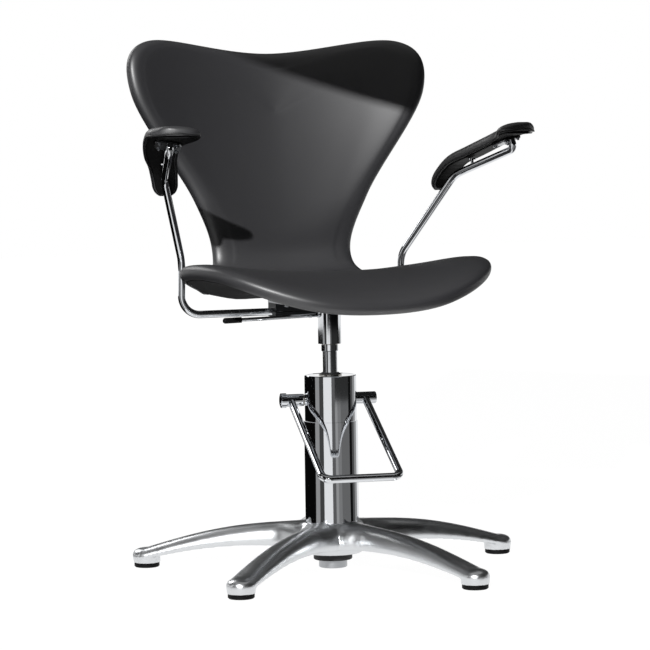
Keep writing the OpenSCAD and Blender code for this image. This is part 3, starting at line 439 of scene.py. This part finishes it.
tree, inputs = nodeTree("starOfLegs", [
    ("Leg count", "NodeSocketInt", 5), ("Turn", "NodeSocketFloat", 0.0),
    ("Leg", "NodeSocketObject", None)])
line = addNode(tree, "GeometryNodeMeshLine", {"Count": inputs["Leg count"], "Offset": (0, 0, 0)})
index = addNode(tree, "GeometryNodeInputIndex")
pitch = addNode(tree, "ShaderNodeMath", {
    0: 2 * math.pi, 1: inputs["Leg count"]}, operation="DIVIDE")
angle = addNode(tree, "ShaderNodeMath", {
    0: index.outputs["Index"], 1: pitch.outputs["Value"], 2: inputs["Turn"]},
    operation="MULTIPLY_ADD")
spin = addNode(tree, "ShaderNodeCombineXYZ", {"Z": angle.outputs["Value"]})
pattern = addNode(tree, "GeometryNodeObjectInfo", {"Object": inputs["Leg"]})
legs = addNode(tree, "GeometryNodeInstanceOnPoints", {
    "Points": line.outputs["Mesh"], "Instance": pattern.outputs["Geometry"],
    "Rotation": spin.outputs["Vector"]})
hub = addNode(tree, "GeometryNodeJoinGeometry", {"Geometry": inputs["Geometry"]})
tree.links.new(legs.outputs["Instances"], hub.inputs["Geometry"])
finishTree(tree, hub.outputs["Geometry"], buffedAluminium)

hubProfile = [(b["hubRadius"] + r, b["hubBottom"] + z) for r, z in b["hubSkirt"]]
hubProfile += [(b["hubRadius"] + r, b["hubTop"] + z) for r, z in b["hubCrown"]]
starBase = growFrom("starBaseCasting", lathe("hub", hubProfile), tree, {
    "Leg count": b["legCount"], "Turn": math.radians(b["turn"]), "Leg": leg}, buffedAluminium)
bpy.data.objects.remove(leg)
remesh = starBase.modifiers.new("cast", "REMESH")  # melts the legs and the hub into one casting
remesh.mode = "VOXEL"
remesh.voxel_size = b["voxel"] * mm
soften = starBase.modifiers.new("fettle", "SMOOTH")
soften.factor = b["smoothing"]["factor"]
soften.iterations = b["smoothing"]["rounds"]
bake(starBase)
cutters = [lathe("bore", [
    (b["spigotHole"], 0), (b["spigotHole"], b["hubFloor"]),
    (b["boreRadius"], b["hubFloor"]), (b["boreRadius"], b["hubTop"] + b["cutPast"])])]
for i in range(b["legCount"]):
    turnOfLeg = math.radians(b["turn"] + 360 / b["legCount"] * i)
    foot = (b["footCircle"] * math.cos(turnOfLeg), b["footCircle"] * math.sin(turnOfLeg))
    stemHole = [(b["stemRadius"], 0), (b["stemRadius"], b["stemTop"])]
    cutters.append(lathe("stemHole", stemHole, 32, foot))
cutter = newObject("machining", joined("machining", cutters), buffedAluminium)
cut = starBase.modifiers.new("machine", "BOOLEAN")
cut.operation = "DIFFERENCE"
cut.object = cutter
cut.solver = "EXACT"
bake(starBase)
bpy.data.objects.remove(cutter)
weld(starBase.data, 0.03)  # the cut leaves slivers at the bore's rim
smoothShade(starBase.data, 45)
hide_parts("star_base")
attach(starBase, "base")
print("star base cast,", len(starBase.data.polygons), "faces")


shellForm = {  # leather over the bent shell, in mm and degrees, by the rule of the shell underneath
    "length": 800, "seatWidth": 484, "backWidth": 504, "waistWidth": 240, "thickness": 26,
    "frontY": -200, "frontZ": 423, "outlineSteps": 14, "profileSteps": 3, "spineSteps": 100,
    "headingBlur": 0.03,
    "heading": [(0, 28), (0.07, 18), (0.18, -5), (0.42, -8), (0.56, 87), (0.72, 80), (1, 74.5)],
    "dish": [(0, 0.125), (0.15, 0.1), (0.38, 0.12), (0.52, 0.07), (0.65, 0.19), (1, 0.215)],
    "seatOutline": [(0, -0.013), (0.52, 0.008), (0.905, 0.1), (1, 0.26), (0.71, 0.416)],
    "backOutline": [(0.6, 0.665), (1, 0.868), (0.853, 0.976), (0, 0.964)],
    "waistAt": 0.536, "spineStart": 0.15, "spineEnd": 0.87, "oneCentreFrom": 0.95,
    "gluedStations": 11, "piping": {"inset": 10.3, "height": -12.9, "radius": 1.3},
    "cloth": {"pressure": 0.22, "frames": 20, "quality": 5, "cap": 4, "near": 0.05, "evenOut": 24},
}


def headingAt(u):
    blur = shellForm["headingBlur"]
    spots = (u - blur, u + blur, u - blur / 2, u + blur / 2, u)
    return math.radians(sum(lookUp(s, shellForm["heading"]) for s in spots) / len(spots))


spineSteps = shellForm["spineSteps"]
spine = [(0, shellForm["frontY"], shellForm["frontZ"])]
for i in range(spineSteps):
    h = headingAt((i + 0.5) / spineSteps)
    step = shellForm["length"] / spineSteps
    u, y, z = spine[-1]
    spine.append(((i + 1) / spineSteps, y + math.cos(h) * step, z + math.sin(h) * step))
spineY = [(u, y) for u, y, z in spine]
spineZ = [(u, z) for u, y, z in spine]


def shellPoint(x, u, n):  # x across, u along as a share, n out of the middle of the thickness
    half = shellForm["seatWidth"] / 2
    h = headingAt(u)
    rise = lookUp(u, shellForm["dish"]) * half
    q = x / half
    lean = math.atan(2 * q * rise / half)
    off = rise * q * q + n * math.cos(lean)
    past = (u if u < 0 else max(0, u - 1)) * shellForm["length"]
    return (x - n * math.sin(lean), lookUp(u, spineY) + past * math.cos(h) - math.sin(h) * off,
            lookUp(u, spineZ) + past * math.sin(h) + math.cos(h) * off)


oneSide = [(x * shellForm["seatWidth"] / 2, u) for x, u in shellForm["seatOutline"]]
oneSide += [(shellForm["waistWidth"] / 2, shellForm["waistAt"])]
oneSide += [(x * shellForm["backWidth"] / 2, u) for x, u in shellForm["backOutline"]]
outline = closedCurve(oneSide + [(-x, u) for x, u in oneSide[-2:0:-1]], shellForm["outlineSteps"])


def shellRing(share, inset, n):  # the outline drawn in towards the spine, at one height
    ring = []
    spineStart, spineEnd = shellForm["spineStart"], shellForm["spineEnd"]
    for x, u in outline:
        centre = mix(spineStart, spineEnd, min(u, shellForm["oneCentreFrom"]))
        reach = math.hypot(x, (u - centre) * shellForm["length"])
        t = share * (reach - inset) / reach
        ring.append(shellPoint(x * t, mix(centre, u, t), n))
    return ring


def shellRings(stations):
    return [shellRing(*s) for s in openCurve(stations, shellForm["profileSteps"])]


def shellSkin(name, stations):
    return weld(ringMesh(name, shellRings(stations), closeEnds=False))


# Stations are share, inset and height: from the spine of one face round the rim to the other's
thick = shellForm["thickness"]
frontStations = [
    (0, 7, 0.3), (0.34, 7, 0.3), (0.7, 7, 0.3), (1, 8, 0.3), (1, 6.9, 0), (1, 6.9, -7),
    (1, 8.2, -9), (1, 9.4, -11.4), (1, 8.4, -13), (1, 5.8, -12.4), (1, 2.3, -9), (1, 0.4, -4.5),
    (1, -0.1, 0), (1, 1.2, 4), (1, 4.8, 7.4), (1, 10.5, 9.9), (1, 19, 11.4), (1, 30, 12.3),
    (0.72, 9, 0.5 * thick), (0.54, 7, 0.52 * thick), (0.3, 7, 0.53 * thick), (0, 7, 0.53 * thick)]
frontPad = newObject("frontPadLeather", shellSkin("frontPadLeather", frontStations), blackLeather)
gluedRings = shellRings(frontStations[:shellForm["gluedStations"]])
swell(frontPad, [p for ring in gluedRings for p in ring], shellForm["cloth"])
subdivide(frontPad)
smoothShade(frontPad.data, 60)
rearStations = [
    (0, 7, -9.3), (0.5, 7, -9.3), (1, 14, -9.3), (1, 11.9, -9.5), (1, 11.3, -10.6), (1, 12.2, -12),
    (1, 15.5, -13.1), (1, 22, -13.7), (0.86, 9, -0.565 * thick), (0.62, 7, -0.67 * thick),
    (0.34, 7, -0.53 * thick), (0, 7, -0.5 * thick)]
# The rear cover takes the darker leather, whose tone is painted shade for the seat's underside
rearCover = newObject("rearCoverLeather", shellSkin("rearCoverLeather", rearStations), shadeDarkenedLeather)
smoothShade(rearCover.data, 60)
form = shellForm["piping"]
rimPiping = newObject("shellPiping", tubeAlong(
    "shellPiping", shellRing(1, form["inset"], form["height"]), form["radius"]), pipingLeather)
smoothShade(rimPiping.data, 80)
print("shell leather done,", len(frontPad.data.polygons) + len(rearCover.data.polygons), "faces")

armForm = {  # the leather arm pads, in mm: each follows its arm from the elbow
    "uprightX": 190, "crossY": 158, "lowZ": 484, "elbowOut": 57, "elbowFwd": 96, "elbowUp": 130,
    "runOut": 39, "runFwd": 140, "reach": 180, "width": 86, "thickness": 21, "baseThickness": 4.3,
    "stationSteps": 5, "sectionSteps": 3, "pipingRadius": 1.3,
    "stations": [  # forward, up, outer and inner half width, thickness, outward rise, all as shares
        (-0.153, -0.144, 0.05, 0.12, 0.45, 0), (-0.147, -0.125, 0.13, 0.2, 0.75, 0),
        (-0.125, -0.08, 0.19, 0.25, 0.95, 0), (-0.078, -0.018, 0.22, 0.25, 1, 0),
        (0.044, 0.08, 0.28, 0.233, 1, 0.05), (0.244, 0.148, 0.37, 0.203, 1, 0.1),
        (0.5, 0.23, 0.42, 0.2, 1, 0.15), (0.656, 0.283, 0.41, 0.23, 1, 0.18),
        (0.778, 0.32, 0.385, 0.38, 1, 0.16), (0.878, 0.338, 0.345, 0.54, 0.96, 0.06),
        (0.944, 0.345, 0.24, 0.52, 0.93, 0.01), (0.983, 0.346, 0.125, 0.37, 0.8, 0),
        (1, 0.346, 0.02, 0.16, 0.45, 0)],
    "section": [(0.84, 0), (0.97, 0.12), (1, 0.3), (0.96, 0.52), (0.83, 0.73), (0.6, 0.9),
                (0.28, 0.99)],
    "seam": (0.97, 0.06),  # share of the width, and of the height
    "cloth": {"pressure": 5.0, "frames": 20, "quality": 5, "cap": 2.5, "near": 0.05, "evenOut": 6},
}
splay = math.atan(armForm["runOut"] / armForm["runFwd"])
elbow = Vector((armForm["uprightX"] + armForm["elbowOut"], armForm["crossY"] - armForm["elbowFwd"],
                armForm["lowZ"] + armForm["elbowUp"]))
stations = openCurve(armForm["stations"], armForm["stationSteps"])


def onArm(fwd, out, up, side):  # forward along the arm's run, out from it and up, from the elbow
    p = elbow + Vector((fwd * math.sin(splay) + out * math.cos(splay),
                        -fwd * math.cos(splay) + out * math.sin(splay), up))
    return (p.x * side, p.y, p.z)


def padPoint(i, share, height, side):  # a point of the pad's section at a station
    last = len(stations) - 1
    spot = Vector(stations[i][:2]) * armForm["reach"]
    ahead = Vector(stations[min(i + 1, last)][:2]) - Vector(stations[max(i - 1, 0)][:2])
    along = ahead.normalized()
    up = Vector((-along.y, along.x))
    low, high = armForm["baseThickness"], armForm["thickness"]
    full = min(1, stations[i][4])
    bottom = mix((low + high) / 2, low, full)
    top = mix((low + high) / 2, high * max(1, stations[i][4]), full)
    wide = share * stations[i][2 if share > 0 else 3] * armForm["width"]
    h = mix(bottom, top, height) + wide * stations[i][5]
    return onArm(spot.x + up.x * h, wide, spot.y + up.y * h, side)


sectionHalf = openCurve(armForm["section"], armForm["sectionSteps"])
section = sectionHalf + [(-x, z) for x, z in sectionHalf[::-1]]
armPads = {}
for side, name in ((1, "left"), (-1, "right")):
    rings = [[padPoint(i, x, z, side) for x, z in section] for i in range(len(stations))]
    pad = newObject(f"armPadLeather_{name}", ringMesh(f"armPadLeather_{name}", rings), blackLeather)
    swell(pad, [p for ring in rings for p in ring[:2] + ring[-2:]], armForm["cloth"])
    smoothShade(pad.data, 60)
    armPads[name] = pad
    x, z = armForm["seam"]
    inner = range(1, len(stations) - 1)
    around = ([padPoint(i, x, z, side) for i in inner]
              + [padPoint(i, -x, z, side) for i in inner[::-1]])
    piping = newObject(f"armPadPiping_{name}", tubeAlong(
        f"armPadPiping_{name}", around, armForm["pipingRadius"]), pipingLeather)
    smoothShade(piping.data, 80)
    armPads[name + "Piping"] = piping
print("arm pads done,", len(armPads), "pieces")

screwForm = {  # mm: radius and height of the head, radius and length of the shank, and the body
    "seat_screws": {"head": (6, 3), "shank": (3, 7), "socket": 2.3, "dome": 0.6, "body": "seat"},
    "clamp_screws": {
        "head": (4.5, 3), "shank": (2.5, 12), "socket": 1.8, "dome": 0.3, "body": "seat"},
    "pad_screws": {
        "head": (3.5, 2), "shank": (1.8, 2), "socket": 1.3, "dome": 0.7, "body": "seat"},
    "hub_screws": {"head": (2, 3), "shank": (1.9, 1), "socket": 1.1, "dome": 0, "body": "pedal"},
}
screwSides = 24
screwTurn = 1.9  # radians from one screw to the next, as no two sockets stop alike


def screwPattern(form):  # a socket head screw along Z, its face at 0
    (headRadius, headHeight), (shankRadius, shankLength) = form["head"], form["shank"]
    socket, dome = form["socket"], form["dome"]
    tip = -headHeight - shankLength
    profile = [  # radius, height, and 1 for a hexagon: up the socket, over the dome, down the shank
        (socket, -0.7 * headHeight, 1), (socket, dome - 0.3, 1), (socket + 0.25, dome, 0),
        (mix(socket, headRadius, 0.55), 0.8 * dome, 0), (headRadius - 0.5, 0.1 * dome, 0),
        (headRadius - 0.1, -0.3, 0), (headRadius, -0.6, 0), (headRadius, -headHeight, 0),
        (shankRadius, -headHeight, 0), (shankRadius, tip + 0.5, 0), (shankRadius - 0.5, tip, 0)]
    rings = []
    turns = [2 * math.pi * k / screwSides for k in range(screwSides)]
    fromFlat = [(t + math.pi / 6) % (math.pi / 3) - math.pi / 6 for t in turns]
    for radius, z, hexagon in profile:
        reach = [radius / math.cos(t) if hexagon else radius for t in fromFlat]
        rings.append([(r * math.cos(t), r * math.sin(t), z) for r, t in zip(reach, turns)])
    return ringMesh("screwPattern", rings)


def screwSpots(node):  # place and direction of each screw's face, from the islands of the mesh
    bm = bmesh.new()
    bm.from_mesh(nodes[node].data)
    bmesh.ops.remove_doubles(bm, verts=bm.verts, dist=0.01 * mm)
    bm.faces.index_update()
    reached, spots = set(), []
    for first in bm.faces:
        if first.index in reached:
            continue
        reached.add(first.index)
        island, edge = [], [first]
        while edge:
            face = edge.pop()
            island.append(face)
            for near in (f for e in face.edges for f in e.link_faces):
                if near.index not in reached:
                    reached.add(near.index)
                    edge.append(near)
        areas = {}
        for face in island:
            areas.setdefault(tuple(round(c, 2) for c in face.normal), []).append(face)
        flat = max(areas.values(), key=lambda faces: (
            round(sum(f.calc_area() for f in faces) / mm ** 2, 1), faces[0].calc_center_median().z))
        points = {v for f in flat for v in f.verts}
        low = [min(v.co[i] for v in points) for i in range(3)]
        high = [max(v.co[i] for v in points) for i in range(3)]
        spots.append((tuple((a + b) / 2 / mm for a, b in zip(low, high)), tuple(flat[0].normal)))
    bm.free()
    return spots


tree, inputs = nodeTree("screwSet", [
    ("Screw", "NodeSocketObject", None), ("Turn between screws", "NodeSocketFloat", 0.0),
    ("Finish", "NodeSocketMaterial", None)])
facing = addNode(tree, "GeometryNodeInputNamedAttribute", {
    "Name": "facing"}, data_type="FLOAT_VECTOR")
upright = addNode(tree, "FunctionNodeAlignRotationToVector", {
    "Vector": facing.outputs["Attribute"]}, axis="Z")
index = addNode(tree, "GeometryNodeInputIndex")
angle = addNode(tree, "ShaderNodeMath", {
    0: index.outputs["Index"], 1: inputs["Turn between screws"]}, operation="MULTIPLY")
spin = addNode(tree, "ShaderNodeCombineXYZ", {"Z": angle.outputs["Value"]})
turned = addNode(tree, "FunctionNodeRotateRotation", {
    "Rotation": upright.outputs["Rotation"], "Rotate By": spin.outputs["Vector"]},
    rotation_space="LOCAL")
pattern = addNode(tree, "GeometryNodeObjectInfo", {"Object": inputs["Screw"]})
placed = addNode(tree, "GeometryNodeInstanceOnPoints", {
    "Points": inputs["Geometry"], "Instance": pattern.outputs["Geometry"],
    "Rotation": turned.outputs["Rotation"]})
finishTree(tree, placed.outputs["Instances"], inputs["Finish"])

screwSets = {}
for node, form in screwForm.items():
    spots = screwSpots(node)
    finish = finishOfNode[node]
    screw = newObject("screwPattern", screwPattern(form), finish)
    places = pointMesh(node + "Places", [p for p, axis in spots], [axis for p, axis in spots])
    name = node.replace("_s", "S") + "Detail"
    screwSets[node] = growFrom(name, places, tree, {
        "Screw": screw, "Turn between screws": screwTurn, "Finish": finish}, finish)
    bpy.data.objects.remove(screw)
    smoothShade(screwSets[node].data, 35)
    print(name, len(spots), "screws,", len(screwSets[node].data.polygons), "faces")

stitchForm = {  # mm; the row runs beside the rear cover's piping
    "pitch": 5.0, "length": 3.4, "radius": 0.45, "inset": 15.5, "height": -13.3,
}
tree, inputs = nodeTree("stitchRow", [
    ("Pitch", "NodeSocketFloat", 0.005), ("Stitch", "NodeSocketObject", None),
    ("Finish", "NodeSocketMaterial", None)])
curve = addNode(tree, "GeometryNodeMeshToCurve", {"Mesh": inputs["Geometry"]})
even = addNode(tree, "GeometryNodeResampleCurve", {
    "Curve": curve.outputs["Curve"], "Length": inputs["Pitch"]}, mode="LENGTH")
tangent = addNode(tree, "GeometryNodeInputTangent")
along = addNode(tree, "FunctionNodeAlignRotationToVector", {
    "Vector": tangent.outputs["Tangent"]}, axis="X")
pattern = addNode(tree, "GeometryNodeObjectInfo", {"Object": inputs["Stitch"]})
placed = addNode(tree, "GeometryNodeInstanceOnPoints", {
    "Points": even.outputs["Curve"], "Instance": pattern.outputs["Geometry"],
    "Rotation": along.outputs["Rotation"]})
finishTree(tree, placed.outputs["Instances"], inputs["Finish"])

end, r = stitchForm["length"] / 2, stitchForm["radius"]  # both ends of a stitch dip in
bow = [(-end, 0, -r), (-0.7 * end, 0, 0), (0, 0, 0.2 * r), (0.7 * end, 0, 0), (end, 0, -r)]
stitch = newObject("stitch", tubeAlong("stitch", bow, r, sides=6, closed=False), bondedThread)
row = bpy.data.meshes.new("seamRow")
path = shellRing(1, stitchForm["inset"], stitchForm["height"])
row.from_pydata([[c * mm for c in p] for p in path],
                [(i, (i + 1) % len(path)) for i in range(len(path))], [])
seamStitches = growFrom("rearCoverStitches", row, tree, {
    "Pitch": stitchForm["pitch"] * mm, "Stitch": stitch, "Finish": bondedThread}, bondedThread)
bpy.data.objects.remove(stitch)
smoothShade(seamStitches.data, 60)
print("stitches sewn,", len(seamStitches.data.polygons), "faces")

springForm = {  # the pump's return spring: radius of the wire and gaps in mm
    "wire": 0.8, "wireSides": 8, "turns": 8, "stepsPerTurn": 20, "endGap": 0.3,
    "travelKept": 0.738,  # share of its length at the pedal's end of travel
}
low, high = (Vector(corner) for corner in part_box("plunger_spring"))
tree, inputs = nodeTree("coilSpring", [
    ("Turns", "NodeSocketFloat", 8.0), ("Steps per turn", "NodeSocketInt", 16),
    ("Coil radius", "NodeSocketFloat", 0.005), ("Height", "NodeSocketFloat", 0.06),
    ("Wire radius", "NodeSocketFloat", 0.001), ("Foot", "NodeSocketVector", None)])
coil = addNode(tree, "GeometryNodeCurveSpiral", {
    "Resolution": inputs["Steps per turn"], "Rotations": inputs["Turns"],
    "Start Radius": inputs["Coil radius"], "End Radius": inputs["Coil radius"],
    "Height": inputs["Height"]})
wire = addNode(tree, "GeometryNodeCurvePrimitiveCircle", {
    "Resolution": springForm["wireSides"], "Radius": inputs["Wire radius"]})
wound = addNode(tree, "GeometryNodeCurveToMesh", {
    "Curve": coil.outputs["Curve"], "Profile Curve": wire.outputs["Curve"], "Fill Caps": True})
placed = addNode(tree, "GeometryNodeTransform", {
    "Geometry": wound.outputs["Mesh"], "Translation": inputs["Foot"]})
finishTree(tree, placed.outputs["Geometry"], zincSteel)
wireRadius, gap = springForm["wire"] * mm, springForm["endGap"] * mm
foot = Vector(((low.x + high.x) / 2, (low.y + high.y) / 2, low.z + wireRadius + gap))
returnSpring = growFrom("plungerReturnSpring", pointMesh("springStart", [(0, 0, 0)]), tree, {
    "Turns": float(springForm["turns"]), "Steps per turn": springForm["stepsPerTurn"],
    "Coil radius": (high.x - low.x) / 2 - wireRadius, "Wire radius": wireRadius,
    "Height": high.z - low.z - 2 * (wireRadius + gap), "Foot": foot}, zincSteel)
smoothShade(returnSpring.data, 60)
print("spring wound,", len(returnSpring.data.polygons), "faces")

# The leather stands for the plain pads and rides on the seat
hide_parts("front_pad")
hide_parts("rear_cover")
for name in ("left", "right"):
    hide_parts(f"arm_pad_{name}")
for piece in (frontPad, rearCover, rimPiping, seamStitches, *armPads.values()):
    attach(piece, "seat")
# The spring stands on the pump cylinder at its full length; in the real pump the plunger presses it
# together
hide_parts("plunger_spring")
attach(returnSpring, "base")
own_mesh(returnSpring)
for node, piece in screwSets.items():
    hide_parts(node)
    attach(piece, screwForm[node]["body"])
print("pieces placed on their bodies")

# Floor, light and camera. A low key light from the front left, as crisp as the arm pad's shadow on
# the back, two cards that only its shadows see, and cloths, walls and ceilings that only
# reflections see: sheets that glow with their tones, painted reflections of the surroundings
studio = {  # metres, degrees and watts; headings run from +X towards +Y
    "floorColour": "#bcbcbc", "floorSize": 12.0, "floorGlow": 0.86, "floorWhite": 1.14,
    "worldStrength": 0.05, "aimHeight": 0.5,
    "key": {"heading": 237.5, "height": 24.5, "strength": 3.75, "spread": 0.9, "distance": 4},
    "fill": {"place": (-1.2, -3.6, 2.2), "size": 2.4, "power": 5, "reflected": False},
    "rear": {"place": (-1.4, 2.8, 2.4), "size": 2.0, "power": 45, "reflected": True},
    "card": {  # its lower edge throws the line on the back that runs from start to end
        "start": (-0.033, 0.248, 0.806), "end": (0.185, 0.199, 0.7295), "away": 1.2,
        "longer": (0.2, 2.6), "tall": 0.8},
    "padCard": {"node": "arm_pad_left", "margin": (0.03, 0.02), "away": 1.2},
    "cloths": [  # on the floor, as heading from and to, radius from and to, and tone
        (68, 177, 0.42, 5.5, "#0a0a0a"), (177, 197, 0.45, 5.5, "#a4a4a4"),
        (197, 216, 0.45, 5.5, "#4a4a4a"), (252, 266, 0.45, 5.5, "#686868"),
        (266, 277, 0.45, 2.8, "#a6a6a6"), (277, 292, 0.45, 2.8, "#8a8a8a"),
        (292, 332, 0.45, 2.8, "#747474"), (266, 332, 2.8, 5.5, "#343434"),
        (332, 347, 0.45, 5.5, "#141414"), (347, 361, 0.45, 5.5, "#5a5a5a"),
        (361, 380, 0.45, 5.5, "#a0a0a0")],
    "walls": [  # behind the cloths, as heading from and to, height from and to, and tone
        (185, 218, 0, 3.5, "#040404"), (225, 344, 0, 1.7, "#040404"),
        (225, 344, 1.7, 3.5, "#121212"), (344, 530, 0.9, 3.5, "#303030")],
    "ceilings": [  # as heading from and to, radius from and to, and tone
        (0, 360, 0, 2.2, "#9a9a9a"), (158, 338, 2.2, 3.4, "#505050"),
        (158, 338, 3.4, 5.5, "#141414"), (338, 518, 2.2, 5.5, "#363636")],
    "clothHeight": 0.002, "ceilingHeight": 3.5, "wallRadius": 5.5, "flagSteps": 8,
}
directRays = ("Is Camera Ray", "Is Glossy Ray", "Is Transmission Ray")
rayKinds = ("camera", "diffuse", "glossy", "transmission", "shadow")


def seenDirectly(tree):  # 1 for what the camera, a mirror or a glass shows
    path = addNode(tree, "ShaderNodeLightPath")
    value = path.outputs[directRays[0]]
    for kind in directRays[1:]:
        larger = addNode(tree, "ShaderNodeMath", {
            0: value, 1: path.outputs[kind]}, operation="MAXIMUM")
        value = larger.outputs["Value"]
    return value


def stageSheet(name, points, faces, material, seenBy):  # a sheet that only some kinds of ray see
    mesh = bpy.data.meshes.new(name)
    mesh.from_pydata(points, [], faces)
    sheet = newObject(name, mesh, material)
    for kind in rayKinds:
        setattr(sheet, f"visible_{kind}", kind in seenBy)


studioFloor, tree, shader = newMaterial("paintedFloor", studio["floorColour"], 0.9)
glow = addNode(tree, "ShaderNodeEmission", {
    "Color": linear("#ffffff"), "Strength": studio["floorWhite"]})
share = addNode(tree, "ShaderNodeMath", {
    0: seenDirectly(tree), 1: studio["floorGlow"]}, operation="MULTIPLY")
blend = addNode(tree, "ShaderNodeMixShader", {"Fac": share.outputs["Value"]})
tree.links.new(shader.outputs["BSDF"], blend.inputs[1])
tree.links.new(glow.outputs["Emission"], blend.inputs[2])
tree.links.new(blend.outputs["Shader"], tree.nodes["Material Output"].inputs["Surface"])
s = studio["floorSize"]
stageSheet("studioFloor", [(-s, -s, 0), (s, -s, 0), (s, s, 0), (-s, s, 0)], [(0, 1, 2, 3)],
           studioFloor, rayKinds)


def flag(name, heading, stretch, tone):  # a curved sheet that glows with its tone, a painted reflection that only glossy rays see; stretch is radius and height of two edges
    cloth, tree, shader = newMaterial(name, "#000000", 1.0, Specular_IOR_Level=0.0,
                                      Emission_Color=linear(tone), Emission_Strength=1.0)
    points = []
    for i in range(studio["flagSteps"] + 1):
        a = math.radians(mix(*heading, i / studio["flagSteps"]))
        points += [(r * math.cos(a), r * math.sin(a), z) for r, z in stretch]
    faces = [(2 * i, 2 * i + 1, 2 * i + 3, 2 * i + 2) for i in range(studio["flagSteps"])]
    stageSheet(name, points, faces, cloth, ("glossy",))


for i, (start, end, near, far, tone) in enumerate(studio["cloths"]):
    z = studio["clothHeight"]
    flag(f"floorCloth_{i}", (start, end), ((near, z), (far, z)), tone)
for i, (start, end, low, high, tone) in enumerate(studio["walls"]):
    r = studio["wallRadius"]
    flag(f"blackWall_{i}", (start, end), ((r, low), (r, high)), tone)
for i, (start, end, near, far, tone) in enumerate(studio["ceilings"]):
    z = studio["ceilingHeight"]
    flag(f"darkCeiling_{i}", (start, end), ((near, z), (far, z)), tone)

key = studio["key"]
heading, height = math.radians(key["heading"]), math.radians(key["height"])
towardsKey = Vector((math.cos(heading) * math.cos(height), math.sin(heading) * math.cos(height),
                     math.sin(height)))
sun = bpy.data.lights.new("keyLight", "SUN")
sun.energy = key["strength"]
sun.angle = math.radians(key["spread"])
keyLamp = bpy.data.objects.new("keyLight", sun)
keyLamp.location = towardsKey * key["distance"]
keyLamp.rotation_euler = towardsKey.to_track_quat("Z", "Y").to_euler()
bpy.context.scene.collection.objects.link(keyLamp)

card = studio["card"]
start, end = Vector(card["start"]), Vector(card["end"])
along = (end - start).normalized()
edge = [start - along * card["longer"][0] + towardsKey * card["away"],
        end + along * card["longer"][1] + towardsKey * card["away"]]
rise = Vector((0, 0, card["tall"]))
cardBlack, tree, shader = newMaterial("keyCard", "#030303", 1.0)
stageSheet("keyCard", [*edge, edge[1] + rise, edge[0] + rise], [(0, 1, 2, 3)],
           cardBlack, ("shadow",))
padCard = studio["padCard"]  # and one that keeps an arm pad dark, as wide as the key light sees it
low, high = (Vector(corner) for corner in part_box(padCard["node"]))
corners = [Vector((x, y, z)) for x in (low.x, high.x) for y in (low.y, high.y)
           for z in (low.z, high.z)]
across = towardsKey.cross(Vector((0, 0, 1))).normalized()
upwards = across.cross(towardsKey)
sides = [(min(p.dot(a) for p in corners) - m, max(p.dot(a) for p in corners) + m)
         for a, m in zip((across, upwards), padCard["margin"])]
middle = (low + high) / 2
base = towardsKey * (middle.dot(towardsKey) + padCard["away"])
padSheet = [base + across * sides[0][i] + upwards * sides[1][j]
            for i, j in ((0, 0), (1, 0), (1, 1), (0, 1))]
stageSheet("padCard", padSheet, [(0, 1, 2, 3)], cardBlack, ("shadow",))

for name in ("fill", "rear"):
    form = studio[name]
    light = bpy.data.lights.new(name + "Light", "AREA")
    light.size = form["size"]
    light.energy = form["power"]
    lamp = bpy.data.objects.new(name + "Light", light)
    lamp.location = form["place"]
    fromAim = Vector(form["place"]) - Vector((0, 0, studio["aimHeight"]))
    lamp.rotation_euler = fromAim.to_track_quat("Z", "Y").to_euler()
    lamp.visible_glossy = form["reflected"]
    bpy.context.scene.collection.objects.link(lamp)

world = bpy.data.worlds.new("paleStudio")
bpy.context.scene.world = world
world.use_nodes = True
tree = world.node_tree
tree.nodes.clear()
plain = addNode(tree, "ShaderNodeBackground", {
    "Color": linear("#ffffff"), "Strength": studio["worldStrength"]})
white = addNode(tree, "ShaderNodeBackground", {"Color": linear("#ffffff"), "Strength": 1.0})
choice = addNode(tree, "ShaderNodeMixShader", {"Fac": seenDirectly(tree)})
tree.links.new(plain.outputs["Background"], choice.inputs[1])
tree.links.new(white.outputs["Background"], choice.inputs[2])
addNode(tree, "ShaderNodeOutputWorld", {"Surface": choice.outputs["Shader"]})

view = {  # the photograph's viewpoint, in metres and degrees, with the focal length in px
    "turn": 22, "place": (0.0, -4.17668, 0.66498), "yaw": -0.0975, "down": 3.849, "roll": -0.861,
    "focal": 2674.13, "frameSize": 650, "sensor": 36, "clip": (0.1, 60),
}
cameraData = bpy.data.cameras.new("photoCamera")
cameraData.sensor_width = view["sensor"]
cameraData.lens = view["focal"] / view["frameSize"] * view["sensor"]
cameraData.clip_start, cameraData.clip_end = view["clip"]
camera = bpy.data.objects.new("photoCamera", cameraData)
bpy.context.scene.collection.objects.link(camera)
yaw, down, roll = (math.radians(view[k]) for k in ("yaw", "down", "roll"))
forward = Vector((math.sin(yaw) * math.cos(down), math.cos(yaw) * math.cos(down), -math.sin(down)))
right = forward.cross(Vector((0, 0, 1))).normalized()
upward = right.cross(forward)
tilted = right * math.cos(roll) + upward * math.sin(roll)
upward = -right * math.sin(roll) + upward * math.cos(roll)
aim = Matrix((tilted, upward, -forward)).transposed().to_4x4()
turn = Matrix.Rotation(math.radians(-view["turn"]), 4, "Z")
camera.matrix_world = turn @ Matrix.Translation(view["place"]) @ aim
bpy.context.scene.camera = camera
bpy.context.scene.view_settings.view_transform = "Standard"
print("camera and light ready")
